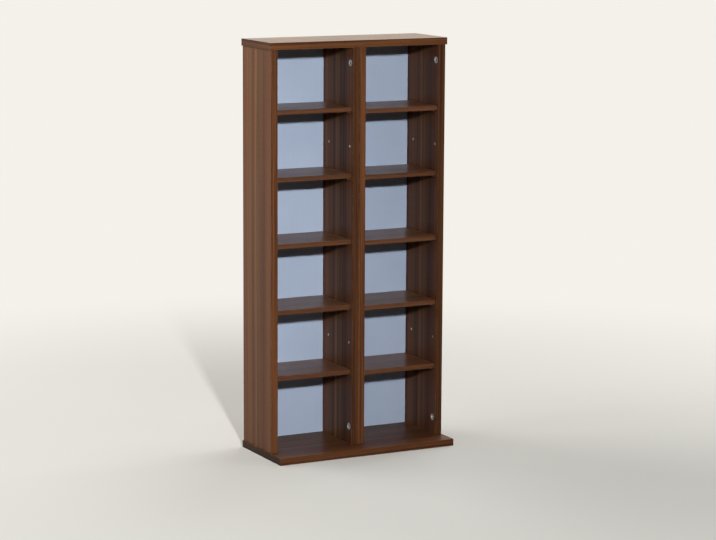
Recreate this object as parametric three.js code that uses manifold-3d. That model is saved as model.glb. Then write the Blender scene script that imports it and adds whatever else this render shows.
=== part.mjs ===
// A free-standing storage rack for disc cases, in walnut-decor board. Two columns of shelves stand
// side by side under one top panel, on one base panel that reaches out in front as a foot.
// Millimetres, +Z up, +Y to the back, origin on the floor at the middle of the rack.
import * as THREE from "three";
import { mergeVertices } from "three/addons/utils/BufferGeometryUtils.js";
import Module from "manifold-3d";

const wasm = await Module();
wasm.setup();

// The whole rack
const rackHeight = 890;
const bayWidth = 177;
const uprightDepth = 142;
const uprightThickness = 15;
const topThickness = 15;
const baseThickness = 15;
const backThickness = 2.8;
const edgeEase = 0.5;

// How far the panels stand out past the uprights
const sideOverhang = 2.9;
const topFrontOverhang = 3;
const baseFrontReach = 50;
const backSideInset = 1.5;
const backEndInset = 4;

// Shelves, numbered from the top in each column
const shelvesPerColumn = 5;
const shelfThickness = 10;
const lowestBayHeight = 150;
const leftColumnRaise = 5;
const shelfSetback = 6;
const shelfBackGap = 1;
const shelfSideGap = 0.5;

// Spacing of the second set of shelf places, for tall cases, in shelf pitches
const tallSpacingShare = 1.5;

// Shelf pins and the two rows of blind holes that they plug into
const pinRadius = 2.5;
const pinReach = 7;
const pinPlug = 9;
const pinEase = 0.6;
const frontRowSetback = 15;
const rearRowInset = 28;
const pinHoleDepth = 10;
const pinSides = 12;

// Cam fittings at the ends of the uprights: a drum in a round pocket, holding a bolt
const camRadius = 7.3;
const camLength = 12;
const camEase = 0.5;
const camSetback = 14;
const camFromTopPanel = 34;
const camFromBasePanel = 38;
const camSides = 24;
const slotLength = 5.8;
const slotWidth = 1.8;
const slotDepth = 2.2;
const boltRadius = 3;
const boltScrewRadius = 2.4;
const boltScrewLength = 10;
const boltSides = 12;

// Wooden dowels, glued into the uprights' ends and into the fixed shelves
const endDowelRadius = 4;
const endDowelReach = 9;
const shelfDowelRadius = 3;
const shelfDowelReach = 8;
const dowelSides = 12;

// Gaps between pieces
const boardGap = 0.2;
const restGap = 0.3;
const holeClearance = 0.2;
const cutOverrun = 1;

// Angles
const quarterTurn = Math.PI / 2;

// Sizes and places that follow from the values above
const columnWidth = bayWidth + 2 * uprightThickness;
const panelWidth = 2 * (columnWidth + sideOverhang) + boardGap;
const columnCentre = (columnWidth + boardGap) / 2;
const rackDepth = baseFrontReach + uprightDepth + boardGap + backThickness;
const uprightFront = baseFrontReach - rackDepth / 2;
const uprightBottom = baseThickness + boardGap;
const uprightTop = rackHeight - topThickness - boardGap;
const uprightHeight = uprightTop - uprightBottom;
const rearRowSetback = uprightDepth - rearRowInset;
const rowSetbacks = { front: frontRowSetback, rear: rearRowSetback };
const camSink = camFromTopPanel - boardGap;
const camRise = camFromBasePanel - boardGap;
const insideHeight = rackHeight - topThickness - baseThickness;
const shelfPitch = (insideHeight - lowestBayHeight) / shelvesPerColumn;
const fixedShelf = (shelvesPerColumn + 1) / 2;

// Finishes
const finishes = {
  decor: { color: 0x664429, roughness: 0.42, metalness: 0 },
  shelf: { color: 0x6a4429, roughness: 0.4, metalness: 0 },
  backing: { color: 0xc3cfdd, roughness: 0.5, metalness: 0 },
  zinc: { color: 0xb9bcc0, roughness: 0.3, metalness: 1 },
  steel: { color: 0x42382f, roughness: 0.5, metalness: 1 },
};

// A closed geometry as a solid that can be joined and cut
function solidOf(geometry) {
  const bare = geometry.clone();
  bare.deleteAttribute("normal");
  bare.deleteAttribute("uv");
  const merged = mergeVertices(bare);
  return new wasm.Manifold(
    new wasm.Mesh({
      numProp: 3,
      vertProperties: merged.attributes.position.array,
      triVerts: new Uint32Array(merged.index.array),
    }),
  );
}

// A solid as a mesh with its name and its own material
function meshOf(name, solid, finish) {
  const surface = solid.getMesh();
  const geometry = new THREE.BufferGeometry();
  geometry.setAttribute("position", new THREE.BufferAttribute(surface.vertProperties, 3));
  geometry.setIndex(new THREE.BufferAttribute(surface.triVerts, 1));
  geometry.computeVertexNormals();
  const mesh = new THREE.Mesh(geometry, new THREE.MeshStandardMaterial(finishes[finish]));
  mesh.name = name;
  return mesh;
}

// A board with eased edges, from the origin along +X, +Y and +Z
function board(width, depth, height) {
  const outline = new THREE.Shape([
    new THREE.Vector2(0, 0),
    new THREE.Vector2(width, 0),
    new THREE.Vector2(width, depth),
    new THREE.Vector2(0, depth),
  ]);
  const geometry = new THREE.ExtrudeGeometry(outline, {
    depth: height - 2 * edgeEase,
    bevelThickness: edgeEase,
    bevelSize: edgeEase,
    bevelOffset: -edgeEase,
    bevelSegments: 1,
  });
  return geometry.translate(0, 0, edgeEase);
}

// A round rod along X or Z, from its place in the sense of its length, which may be negative
function rod(axis, radius, length, sides, place) {
  const geometry = new THREE.CylinderGeometry(radius, radius, Math.abs(length), sides);
  geometry.translate(0, length / 2, 0);
  if (axis === "x") geometry.rotateZ(-quarterTurn);
  if (axis === "z") geometry.rotateX(quarterTurn);
  return solidOf(geometry.translate(place.x, place.y, place.z));
}

// A block centred on its place
function block(size, place) {
  const geometry = new THREE.BoxGeometry(size.x, size.y, size.z);
  return solidOf(geometry.translate(place.x, place.y, place.z));
}

// A pin turned about X, with eased ends; it runs from zero in the sense of its length
function turnedPin(radius, length, ease, sides) {
  const end = length - ease;
  const profile = [
    new THREE.Vector2(0, 0),
    new THREE.Vector2(radius - ease, 0),
    new THREE.Vector2(radius, ease),
    new THREE.Vector2(radius, end),
    new THREE.Vector2(radius - ease, length),
    new THREE.Vector2(0, length),
  ];
  return new THREE.LatheGeometry(profile, sides).rotateZ(-quarterTurn);
}

// Joins or cuts a solid with each of a list of others
const joined = (solid, others) => others.reduce((sum, other) => sum.add(other), solid);
const cut = (solid, tools) => tools.reduce((rest, tool) => rest.subtract(tool), solid);

// Heights, above the upright's foot, of a shelf's underside; shelf 1 is the top one
function shelfUnderside(column, shelf) {
  const lowest = lowestBayHeight + column.raise - boardGap;
  return lowest + (shelvesPerColumn - shelf) * shelfPitch;
}

// Heights of all places where pins can carry a shelf, the two tall-case places last
function pinnedUndersides(column) {
  const middle = shelfUnderside(column, fixedShelf);
  const tall = tallSpacingShare * shelfPitch;
  const places = [];
  for (let shelf = 1; shelf <= shelvesPerColumn; shelf += 1) {
    if (shelf !== fixedShelf) places.push(shelfUnderside(column, shelf));
  }
  return [...places, middle + tall, middle - tall];
}

const pinHeight = (underside) => underside - restGap - pinRadius;
const shelfDowelHeight = (column) => shelfUnderside(column, fixedShelf) + shelfThickness / 2;

// An upright, whose bay face lies at x = 0 and looks along the given sense of X. Its foot is at
// z = 0 and its front edge at y = 0. A glued dowel stands out of each end, near the back.
function uprightSolid(column, facing) {
  const middle = -facing * (uprightThickness / 2);
  const plain = board(uprightThickness, uprightDepth, uprightHeight);
  const body = solidOf(plain.translate(middle - uprightThickness / 2, 0, 0));

  const hole = (radius, depth, y, z, sides) => {
    const mouth = { x: facing * cutOverrun, y, z };
    return rod("x", radius + holeClearance, -facing * (depth + cutOverrun), sides, mouth);
  };
  const holes = [];
  for (const y of Object.values(rowSetbacks)) {
    for (const underside of pinnedUndersides(column)) {
      holes.push(hole(pinRadius, pinHoleDepth, y, pinHeight(underside), pinSides));
    }
    const dowelDepth = shelfDowelReach + holeClearance;
    holes.push(hole(shelfDowelRadius, dowelDepth, y, shelfDowelHeight(column), dowelSides));
  }
  const boltBore = (z, length) =>
    rod("z", boltRadius + holeClearance, length, boltSides, { x: middle, y: camSetback, z });
  const pocketDepth = camLength + holeClearance;
  holes.push(hole(camRadius, pocketDepth, camSetback, uprightHeight - camSink, camSides));
  holes.push(hole(camRadius, pocketDepth, camSetback, camRise, camSides));
  holes.push(boltBore(uprightHeight - camSink, camSink + cutOverrun));
  holes.push(boltBore(camRise, -(camRise + cutOverrun)));

  const dowel = (z, length) =>
    rod("z", endDowelRadius, length, dowelSides, { x: middle, y: rearRowSetback, z });
  const overlap = endDowelReach;
  const dowels = [
    dowel(uprightHeight - overlap, overlap + endDowelReach),
    dowel(overlap, -(overlap + endDowelReach)),
  ];
  return joined(cut(body, holes), dowels);
}

// A cam fitting, whose drum face is at x = 0 and whose bolt runs along the given sense of Z to
// the end of the upright and on into the panel there
function camSolid(facing, sense, toPanel) {
  const turned = turnedPin(camRadius, camLength, camEase, camSides);
  const drum = solidOf(facing > 0 ? turned.translate(-camLength, 0, 0) : turned);
  const slotSink = slotDepth + cutOverrun;
  const slotCentre = facing * (cutOverrun - slotSink / 2);
  const slots = [
    block({ x: slotSink, y: slotLength, z: slotWidth }, { x: slotCentre, y: 0, z: 0 }),
    block({ x: slotSink, y: slotWidth, z: slotLength }, { x: slotCentre, y: 0, z: 0 }),
  ];
  const boltX = -facing * (uprightThickness / 2);
  const shank = { x: boltX, y: 0, z: 0 };
  const screw = { x: boltX, y: 0, z: sense * toPanel };
  const bolt = [
    rod("z", boltRadius, sense * toPanel, boltSides, shank),
    rod("z", boltScrewRadius, sense * boltScrewLength, boltSides, screw),
  ];
  return joined(cut(drum, slots), bolt);
}

// A shelf centred on x = 0, with its front edge at y = 0 and its underside at z = 0
function shelfSolid(sideGap, dowelled) {
  const width = bayWidth - 2 * sideGap;
  const depth = uprightDepth + boardGap - shelfSetback - shelfBackGap;
  const body = solidOf(board(width, depth, shelfThickness).translate(-width / 2, 0, 0));
  if (!dowelled) return body;
  const dowels = [];
  for (const setback of Object.values(rowSetbacks)) {
    const y = setback - shelfSetback;
    const inner = width / 2 - shelfDowelReach;
    const length = shelfDowelReach + sideGap + shelfDowelReach;
    for (const sense of [1, -1]) {
      const start = { x: sense * inner, y, z: shelfThickness / 2 };
      dowels.push(rod("x", shelfDowelRadius, sense * length, dowelSides, start));
    }
  }
  return joined(body, dowels);
}

// The top or base panel, centred on x = 0, from y = 0 to its back edge and from z = 0 up.
// Blind holes for the bolts and dowels of the four uprights open at the given height.
function panelSolid(frontReach, thickness, mouthHeight, sense) {
  const depth = frontReach + uprightDepth;
  const body = solidOf(board(panelWidth, depth, thickness).translate(-panelWidth / 2, 0, 0));
  const boltHole = { radius: boltScrewRadius, reach: boltScrewLength, setback: camSetback };
  const dowelHole = { radius: endDowelRadius, reach: endDowelReach, setback: rearRowSetback };
  const holes = [];
  for (const side of [-1, 1]) {
    for (const edge of [-1, 1]) {
      const x = side * columnCentre + (edge * (bayWidth + uprightThickness)) / 2;
      for (const kind of [boltHole, dowelHole]) {
        const depthIn = sense * (kind.reach + cutOverrun);
        const mouth = { x, y: frontReach + kind.setback, z: mouthHeight - sense * cutOverrun };
        holes.push(rod("z", kind.radius + holeClearance, depthIn, boltSides, mouth));
      }
    }
  }
  return cut(body, holes);
}

// A column of shelves between its two uprights. The group's origin is on the floor, in the
// middle of the bay, at the uprights' front edge.
function columnGroup(column) {
  const group = new THREE.Group();
  group.position.set(column.sense * columnCentre, 0, 0);
  for (const upright of column.uprights) {
    const facing = -upright.sense;
    const faceX = upright.sense * (bayWidth / 2);
    const panel = meshOf(upright.name, uprightSolid(column, facing), "decor");
    panel.position.set(faceX, 0, uprightBottom);
    group.add(panel);

    const topCam = meshOf(`${upright.name}_top_cam`, camSolid(facing, 1, camFromTopPanel), "zinc");
    topCam.position.set(faceX, camSetback, uprightTop - camSink);
    const baseCam = meshOf(
      `${upright.name}_base_cam`, camSolid(facing, -1, camFromBasePanel), "zinc");
    baseCam.position.set(faceX, camSetback, uprightBottom + camRise);
    group.add(topCam, baseCam);
  }
  for (let shelf = 1; shelf <= shelvesPerColumn; shelf += 1) {
    const name = `${column.name}_shelf_${shelf}`;
    const underside = uprightBottom + shelfUnderside(column, shelf);
    const fixed = shelf === fixedShelf;
    const shelfBoard = meshOf(name, shelfSolid(fixed ? boardGap : shelfSideGap, fixed), "shelf");
    shelfBoard.position.set(0, shelfSetback, underside);
    group.add(shelfBoard);
    if (!fixed) group.add(...shelfPins(column, name, underside));
  }
  return group;
}

// The four pins that carry a shelf, plugged into the uprights on both sides of the bay
function shelfPins(column, shelfName, underside) {
  const pins = [];
  for (const upright of column.uprights) {
    for (const [row, setback] of Object.entries(rowSetbacks)) {
      const length = pinPlug + pinReach;
      const solid = solidOf(turnedPin(pinRadius, length, pinEase, pinSides));
      const pin = meshOf(`${shelfName}_pin_${upright.edge}_${row}`, solid, "steel");
      const outerEnd = upright.sense * (bayWidth / 2) + upright.sense * pinPlug;
      const innerEnd = outerEnd - upright.sense * length;
      pin.position.set(Math.min(outerEnd, innerEnd), setback, pinHeight(underside));
      pins.push(pin);
    }
  }
  return pins;
}

// The two columns; a sense of -1 is to the left and +1 to the right
const columns = [
  {
    name: "left",
    sense: -1,
    raise: leftColumnRaise,
    uprights: [
      { name: "left_side", edge: "left", sense: -1 },
      { name: "left_divider", edge: "right", sense: 1 },
    ],
  },
  {
    name: "right",
    sense: 1,
    raise: 0,
    uprights: [
      { name: "right_divider", edge: "left", sense: -1 },
      { name: "right_side", edge: "right", sense: 1 },
    ],
  },
];

// The top panel over the uprights, flush with their back edges
const topPanel = meshOf(
  "top_panel", panelSolid(topFrontOverhang, topThickness, 0, 1), "decor");
topPanel.position.set(0, -topFrontOverhang, rackHeight - topThickness);

// The base panel on the floor, reaching out in front of the uprights
const basePanel = meshOf(
  "base_panel", panelSolid(baseFrontReach, baseThickness, baseThickness, -1), "decor");
basePanel.position.set(0, -baseFrontReach, 0);

// The thin back panel, nailed on behind the uprights and the edges of both panels
const backWidth = panelWidth - 2 * (sideOverhang + backSideInset);
const backHeight = rackHeight - 2 * backEndInset;
const backPanel = meshOf(
  "back_panel", solidOf(board(backWidth, backThickness, backHeight)), "backing");
backPanel.position.set(-backWidth / 2, uprightDepth + boardGap, backEndInset);

const rack = new THREE.Group();
rack.name = "disc_case_rack";
const carcass = new THREE.Group();
carcass.position.set(0, uprightFront, 0);
carcass.add(topPanel, basePanel, backPanel, ...columns.map(columnGroup));
rack.add(carcass);

export default rack;
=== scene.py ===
"""Looks of a free-standing storage rack for disc cases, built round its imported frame.

Two columns of shelves stand side by side under one top board, on one base board that reaches out in
front. Metres, +Z up, +Y to the back, origin on the floor at the middle of the rack.
"""
import functools
import logging
import math
from abc import ABC, abstractmethod
from dataclasses import dataclass, field, replace
from enum import Enum
from typing import Any, Iterable, Mapping, Optional, Sequence, Union

import bmesh
import bpy
from mathutils import Matrix, Vector


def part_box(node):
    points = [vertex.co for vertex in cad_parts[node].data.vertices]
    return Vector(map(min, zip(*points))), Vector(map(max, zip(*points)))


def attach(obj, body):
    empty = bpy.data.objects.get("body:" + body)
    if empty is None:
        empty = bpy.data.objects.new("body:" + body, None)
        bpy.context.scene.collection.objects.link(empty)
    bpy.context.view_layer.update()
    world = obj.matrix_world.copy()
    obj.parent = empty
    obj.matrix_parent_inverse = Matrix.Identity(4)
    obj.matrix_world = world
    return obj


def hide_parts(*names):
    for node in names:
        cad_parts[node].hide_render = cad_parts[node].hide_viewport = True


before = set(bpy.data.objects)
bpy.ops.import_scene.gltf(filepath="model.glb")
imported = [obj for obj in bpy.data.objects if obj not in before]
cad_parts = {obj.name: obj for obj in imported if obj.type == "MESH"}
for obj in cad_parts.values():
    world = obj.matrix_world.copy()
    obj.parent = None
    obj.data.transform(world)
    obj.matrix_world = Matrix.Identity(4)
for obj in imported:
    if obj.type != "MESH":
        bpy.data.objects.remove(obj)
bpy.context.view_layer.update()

log = logging.getLogger("rack")

Triple = tuple[float, float, float]
Colour = Triple
Outline = Sequence[tuple[float, float]]
Span = tuple[float, float]

CARCASS = "carcass"
GRAIN_MAP = "grain"
MIDDLE = "board_middle"
HALF = "board_half"
TONE = "tone"
AIM = "aim"
REACH = "reach"
# Marks fittings' faces that are darkened as painted shade in their hollows
RECESS_SHADE = "painted_recess_shade"
FULL_TURN = 2 * math.pi

# How far a face's normal leans along an axis, out of 1, when it counts as facing that way
FACING = 0.5

# Decimals to which two places in metres are compared
DECIMALS = 5

X_AXIS = Vector((1, 0, 0))
Y_AXIS = Vector((0, 1, 0))
Z_AXIS = Vector((0, 0, 1))


class Slot(Enum):
    """The record's material slots."""

    WALNUT = "walnut_decor"
    SHELF = "shelf_decor"
    BACKING = "white_backing"
    CAM = "zinc_cam"
    PIN = "steel_pin"


class Grain(Enum):
    """The axis along which a board's print runs."""

    ACROSS = 0
    UP = 2


class Edge(Enum):
    """A board's edge that can carry a band: its axis and its sense."""

    FRONT = (1, -1)
    LEFT = (0, -1)
    RIGHT = (0, 1)


class Surface(Enum):
    """A board's material slots, in order."""

    FACE = 0
    CORE = 1


def shade(red: int, green: int, blue: int) -> Colour:
    """A linear colour from a shade as a screen shows it.

    Args:
        red: Red, from 0 to 255.
        green: Green, from 0 to 255.
        blue: Blue, from 0 to 255.

    Returns:
        The three linear parts.
    """

    def linear(part: int) -> float:
        """One part of the colour, made linear."""
        share = part / 255
        return share / 12.92 if share <= 0.04045 else ((share + 0.055) / 1.055) ** 2.4

    return (linear(red), linear(green), linear(blue))


# Node trees


class Term:
    """A value in a node tree. Arithmetic on it adds Math nodes to the tree."""

    def __init__(self, tree: "NodeTree", socket: bpy.types.NodeSocket) -> None:
        """Wraps an output socket of a tree's node."""
        self.tree = tree
        self.socket = socket

    def of(self, output: str) -> "Term":
        """Another output of the node that this value comes from."""
        return Term(self.tree, self.tree.socket(self.socket.node.outputs, output))

    def __add__(self, other: "Feed") -> "Term":
        """The sum."""
        return self.tree.math("ADD", self, other)

    def __radd__(self, other: "Feed") -> "Term":
        """The sum, with this value second."""
        return self.tree.math("ADD", other, self)

    def __sub__(self, other: "Feed") -> "Term":
        """The difference."""
        return self.tree.math("SUBTRACT", self, other)

    def __rsub__(self, other: "Feed") -> "Term":
        """The difference, with this value second."""
        return self.tree.math("SUBTRACT", other, self)

    def __mul__(self, other: "Feed") -> "Term":
        """The product."""
        return self.tree.math("MULTIPLY", self, other)

    def __rmul__(self, other: "Feed") -> "Term":
        """The product, with this value second."""
        return self.tree.math("MULTIPLY", other, self)

    def __truediv__(self, other: "Feed") -> "Term":
        """The quotient."""
        return self.tree.math("DIVIDE", self, other)

    def __rtruediv__(self, other: "Feed") -> "Term":
        """The quotient, with this value second."""
        return self.tree.math("DIVIDE", other, self)

    def __neg__(self) -> "Term":
        """The value with its sign changed."""
        return self.tree.math("MULTIPLY", self, -1.0)

    def __abs__(self) -> "Term":
        """The value without its sign."""
        return self.tree.math("ABSOLUTE", self)

    def least(self, other: "Feed") -> "Term":
        """The smaller of two values."""
        return self.tree.math("MINIMUM", self, other)

    def most(self, other: "Feed") -> "Term":
        """The larger of two values."""
        return self.tree.math("MAXIMUM", self, other)

    def eased(self, start: float, end: float) -> "Term":
        """A smooth step from 0 to 1.

        Args:
            start: Where the step is 0. It may be the larger of the two.
            end: Where the step is 1.

        Returns:
            The step.
        """
        low, high, first, last = (start, end, 0.0, 1.0) if start < end else (end, start, 1.0, 0.0)
        ends = {"From Min": low, "From Max": high, "To Min": first, "To Max": last}
        settings = {"interpolation_type": "SMOOTHSTEP"}
        return self.tree.node("ShaderNodeMapRange", "Result", settings, {"Value": self, **ends})


Feed = Union[Term, float, int, Sequence[float], Vector, bpy.types.ID, str, bool]


class NodeTree:
    """A node tree that is written one node at a time."""

    def __init__(self, tree: bpy.types.NodeTree) -> None:
        """Wraps Blender's tree."""
        self.tree = tree

    @staticmethod
    def socket(sockets: Iterable[bpy.types.NodeSocket], key: Union[str, int]) -> bpy.types.NodeSocket:
        """The socket in use that has a name or a place.

        Args:
            sockets: A node's inputs or outputs.
            key: The socket's name, or its place among all of them.

        Returns:
            The socket.
        """
        if isinstance(key, int):
            return list(sockets)[key]
        return next(s for s in sockets if s.name == key and not s.is_unavailable)

    def node(
        self,
        kind: str,
        output: Union[str, int] = 0,
        settings: Optional[Mapping[str, Any]] = None,
        inputs: Optional[Mapping[Union[str, int], Feed]] = None,
    ) -> Term:
        """Adds a node.

        Args:
            kind: Blender's name for the type of node.
            output: The output to return.
            settings: Its properties, set first.
            inputs: A value or a link for each input that isn't left as it is.

        Returns:
            The output.
        """
        made = self.tree.nodes.new(kind)
        for name, value in (settings or {}).items():
            setattr(made, name, value)
        for key, value in (inputs or {}).items():
            self.feed(self.socket(made.inputs, key), value)
        return Term(self, self.socket(made.outputs, output))

    def feed(self, socket: bpy.types.NodeSocket, value: Feed) -> None:
        """Links a term to an input, or sets the input's own value.

        Args:
            socket: The input.
            value: The term, or the value.
        """
        if isinstance(value, Term):
            self.tree.links.new(value.socket, socket)
        elif socket.type == "RGBA":
            socket.default_value = (*value, 1.0)
        else:
            socket.default_value = value

    def math(self, operation: str, *terms: Feed) -> Term:
        """A Math node on one to three values."""
        return self.node("ShaderNodeMath", 0, {"operation": operation}, dict(enumerate(terms)))

    def vector(self, x: Feed = 0.0, y: Feed = 0.0, z: Feed = 0.0) -> Term:
        """A vector from its three parts."""
        return self.node("ShaderNodeCombineXYZ", 0, None, {"X": x, "Y": y, "Z": z})

    def parts(self, vector: Feed) -> tuple[Term, Term, Term]:
        """The three parts of a vector."""
        x = self.node("ShaderNodeSeparateXYZ", "X", None, {"Vector": vector})
        return x, x.of("Y"), x.of("Z")

    def vectors(self, operation: str, *terms: Feed) -> Term:
        """A Vector Math node on one or two vectors."""
        settings = {"operation": operation}
        return self.node("ShaderNodeVectorMath", "Vector", settings, dict(enumerate(terms)))

    def scaled(self, vector: Feed, factor: Feed) -> Term:
        """A vector or colour times a number."""
        inputs = {"Vector": vector, "Scale": factor}
        return self.node("ShaderNodeVectorMath", "Vector", {"operation": "SCALE"}, inputs)


class ShaderTree(NodeTree):
    """The node tree of a material or of the world."""

    def __init__(self, tree: bpy.types.NodeTree, ending: str) -> None:
        """Empties the tree and gives it an output node.

        Args:
            tree: Blender's tree.
            ending: Blender's name for the type of the output node.
        """
        super().__init__(tree)
        tree.nodes.clear()
        self.ending = tree.nodes.new(ending)

    @classmethod
    def of_material(cls, name: str) -> tuple[bpy.types.Material, "ShaderTree"]:
        """A new material and its empty tree.

        Args:
            name: The material's name.

        Returns:
            The material and the tree.
        """
        material = bpy.data.materials.new(name)
        material.use_nodes = True
        return material, cls(material.node_tree, "ShaderNodeOutputMaterial")

    def end(self, shader: Term) -> None:
        """Sends a shader to the output node."""
        self.feed(self.socket(self.ending.inputs, "Surface"), shader)

    def uv(self, name: str) -> Term:
        """The piece's own UV map of that name."""
        return self.node("ShaderNodeUVMap", "UV", {"uv_map": name})

    def place(self) -> Term:
        """The point's Object coordinates."""
        return self.node("ShaderNodeTexCoord", "Object")

    def attribute(self, name: str, output: str = "Vector") -> Term:
        """A mesh attribute of that name."""
        return self.node("ShaderNodeAttribute", output, {"attribute_name": name})

    def noise(self, at: Feed, scale: float = 1.0, detail: float = 2.0, rough: float = 0.5) -> Term:
        """Noise with its middle at 0 and most of it between -0.2 and 0.2.

        Args:
            at: The point, as a vector.
            scale: Cells per unit of the vector.
            detail: Octaves after the first.
            rough: Strength of each octave against the one before.

        Returns:
            The noise.
        """
        inputs = {"Vector": at, "Scale": scale, "Detail": detail, "Roughness": rough}
        return self.node("ShaderNodeTexNoise", "Fac", None, inputs) - 0.5

    def cells(self, at: Feed, scale: float, output: str = "Distance", **settings: Any) -> Term:
        """A Voronoi texture's output."""
        return self.node("ShaderNodeTexVoronoi", output, settings, {"Vector": at, "Scale": scale})

    def mixed(self, share: Feed, first: Feed, second: Feed) -> Term:
        """Two colours mixed.

        Args:
            share: The second colour's share, from 0 to 1.
            first: The first colour.
            second: The second colour.

        Returns:
            The mixed colour.
        """
        settings = {"data_type": "RGBA", "clamp_factor": True}
        inputs = {"Factor": share, "A": first, "B": second}
        return self.node("ShaderNodeMix", "Result", settings, inputs)

    def bump(self, height: Term, distance: float) -> Term:
        """A normal from a height, where a height of 1 stands out by the distance."""
        inputs = {"Height": height, "Distance": distance}
        return self.node("ShaderNodeBump", "Normal", None, inputs)

    def gap_to_edge(self) -> Term:
        """How far the point is, over the board's face, from the board's nearest edge.

        Returns:
            The distance in metres.
        """
        offset = self.vectors("SUBTRACT", self.place(), self.attribute(MIDDLE))
        inward = self.vectors("SUBTRACT", self.attribute(HALF), self.vectors("ABSOLUTE", offset))
        x, y, z = self.parts(inward)
        return x.least(y).most(x.most(y).least(z))

    def principled(self, **inputs: Feed) -> Term:
        """A Principled shader, its inputs named with _ for each space."""
        named = {name.replace("_", " "): value for name, value in inputs.items()}
        return self.node("ShaderNodeBsdfPrincipled", "BSDF", None, named)


# Finishes


class Finish(ABC):
    """A finish that makes its own procedural material."""

    name: str

    @functools.cache
    def material(self) -> bpy.types.Material:
        """Makes the finish's material on first use.

        Returns:
            The material.
        """
        material, tree = ShaderTree.of_material(self.name)
        tree.end(self.surface(tree))
        return material

    @abstractmethod
    def surface(self, tree: ShaderTree) -> Term:
        """Writes the finish's nodes and returns its shader."""


@dataclass(frozen=True)
class DrawnNoise:
    """Noise drawn out along a grain: cells per metre both ways, its layer, and its octaves."""

    across: float
    along: float
    layer: float
    detail: float = 2.0

    def on(self, tree: ShaderTree, across: Feed, along: Feed) -> Term:
        """The noise at a place across and along the grain."""
        at = tree.vector(across * self.across, along * self.along, self.layer)
        return tree.noise(at, 1.0, self.detail)


@dataclass(frozen=True)
class Streak:
    """A streak of the print: its middle, from the board's front, half its width, and what it does."""

    at: float
    half: float
    lift: float
    rosy: float = 0.0


@dataclass(frozen=True)
class WalnutPrint(Finish):
    """Walnut printed on melamine paper: broad soft bands, fine fibres and short dark pores.

    Reads the grain map, with U across the grain from the board's front and V along it. All faces
    are cut from the same printed sheet, so its streaks stand at the same places on each. A sheet
    with a lower tone is also the more strongly figured. A depth is a share of the brightness,
    and a step runs from its first value to its second.
    """

    name: str
    olive: Colour
    rose: Colour
    worn: Colour
    streaks: tuple[Streak, ...]
    bands: DrawnNoise = DrawnNoise(42.0, 0.55, 1.3)
    stripes: DrawnNoise = DrawnNoise(165.0, 1.2, 5.1)
    fibres: DrawnNoise = DrawnNoise(1100.0, 8.0, 7.7, 3.0)
    tints: DrawnNoise = DrawnNoise(30.0, 0.4, 9.4, 1.0)
    pores: DrawnNoise = DrawnNoise(1700.0, 75.0, 3.1, 0.0)
    bends: DrawnNoise = DrawnNoise(2.1, 5.0, 0.7, 1.0)
    fades: DrawnNoise = DrawnNoise(3.3, 1.7, 2.2, 1.0)
    bend_reach: float = 0.006
    band_depth: float = 0.9
    stripe_depth: float = 1.15
    fibre_depth: float = 0.4
    pore_depth: float = 0.3
    fade_depth: float = 1.2
    figure_gain: float = 1.6
    streak_rim: Span = (1.25, 0.5)
    pore_step: Span = (0.16, 0.25)
    pore_cover: Span = (0.12, -0.1)
    tint_step: Span = (-0.14, 0.14)
    stripe_tint: float = 0.35
    rubs_per_metre: float = 130.0
    rub_reach: float = 0.0035
    wear_step: Span = (0.00096, 0.0002)
    wear_cover: float = 0.55
    smudges_per_metre: float = 9.0
    peel_per_metre: float = 420.0
    relief: float = 0.00004
    roughness: float = 0.4
    specular: float = 0.1

    def surface(self, tree: ShaderTree) -> Term:
        """Writes the print's nodes.

        Args:
            tree: The material's tree.

        Returns:
            The shader.
        """
        across, along, _ = tree.parts(tree.uv(GRAIN_MAP))
        drift = across + self.bends.on(tree, along, across) * self.bend_reach
        band = self.bands.on(tree, drift, along)
        stripe = self.stripes.on(tree, drift, along)
        fibre = self.fibres.on(tree, drift, along)
        rosy = self.tints.on(tree, drift, along)
        pore = self.pore_mask(tree, drift, along, stripe)

        # The tone is the print's own brightness, and also carries painted shade in the bays and on the
        # base, and painted sheen on the top.
        tone = tree.attribute(TONE, "Fac")
        figure = 1.0 + (1.0 - tone) * self.figure_gain
        fade = 1.0 + self.fade_depth * self.fades.on(tree, 1.0, along)
        depth = 1.0 + (band * self.band_depth + stripe * self.stripe_depth) * figure
        depth = depth + fibre * self.fibre_depth - pore * self.pore_depth
        outer, inner = self.streak_rim
        for streak in self.streaks:
            lit = abs(drift - streak.at).eased(streak.half * outer, streak.half * inner)
            depth = depth + lit * fade * figure * streak.lift
            rosy = rosy * (1.0 - lit) + lit * streak.rosy

        wear = self.wear(tree)
        rosiness = (rosy + stripe * self.stripe_tint).eased(*self.tint_step)
        colour = tree.mixed(rosiness, self.olive, self.rose)
        colour = tree.scaled(colour, depth * tone)
        colour = tree.mixed(wear * self.wear_cover, colour, self.worn)

        smudge = tree.noise(tree.place(), self.smudges_per_metre, 3.0)
        rough = self.roughness + smudge * 0.16 + fibre * 0.12 + pore * 0.16 + wear * 0.15
        peel = tree.noise(tree.place(), self.peel_per_metre, 1.0)
        normal = tree.bump(fibre * 0.25 - pore + peel * 0.45 - wear * 0.4, self.relief)
        return tree.principled(
            Base_Color=colour, Roughness=rough, Normal=normal, Specular_IOR_Level=self.specular
        )

    def pore_mask(self, tree: ShaderTree, drift: Term, along: Term, stripe: Term) -> Term:
        """Short dark dashes along the grain, thicker in the darker stripes."""
        dashes = self.pores.on(tree, drift, along)
        return dashes.eased(*self.pore_step) * stripe.eased(*self.pore_cover)

    def wear(self, tree: ShaderTree) -> Term:
        """Where handling has rubbed the print, in broken patches along the edges."""
        rub = tree.noise(tree.place(), self.rubs_per_metre, 3.0) * self.rub_reach
        return (tree.gap_to_edge() + rub).eased(*self.wear_step)


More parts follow.
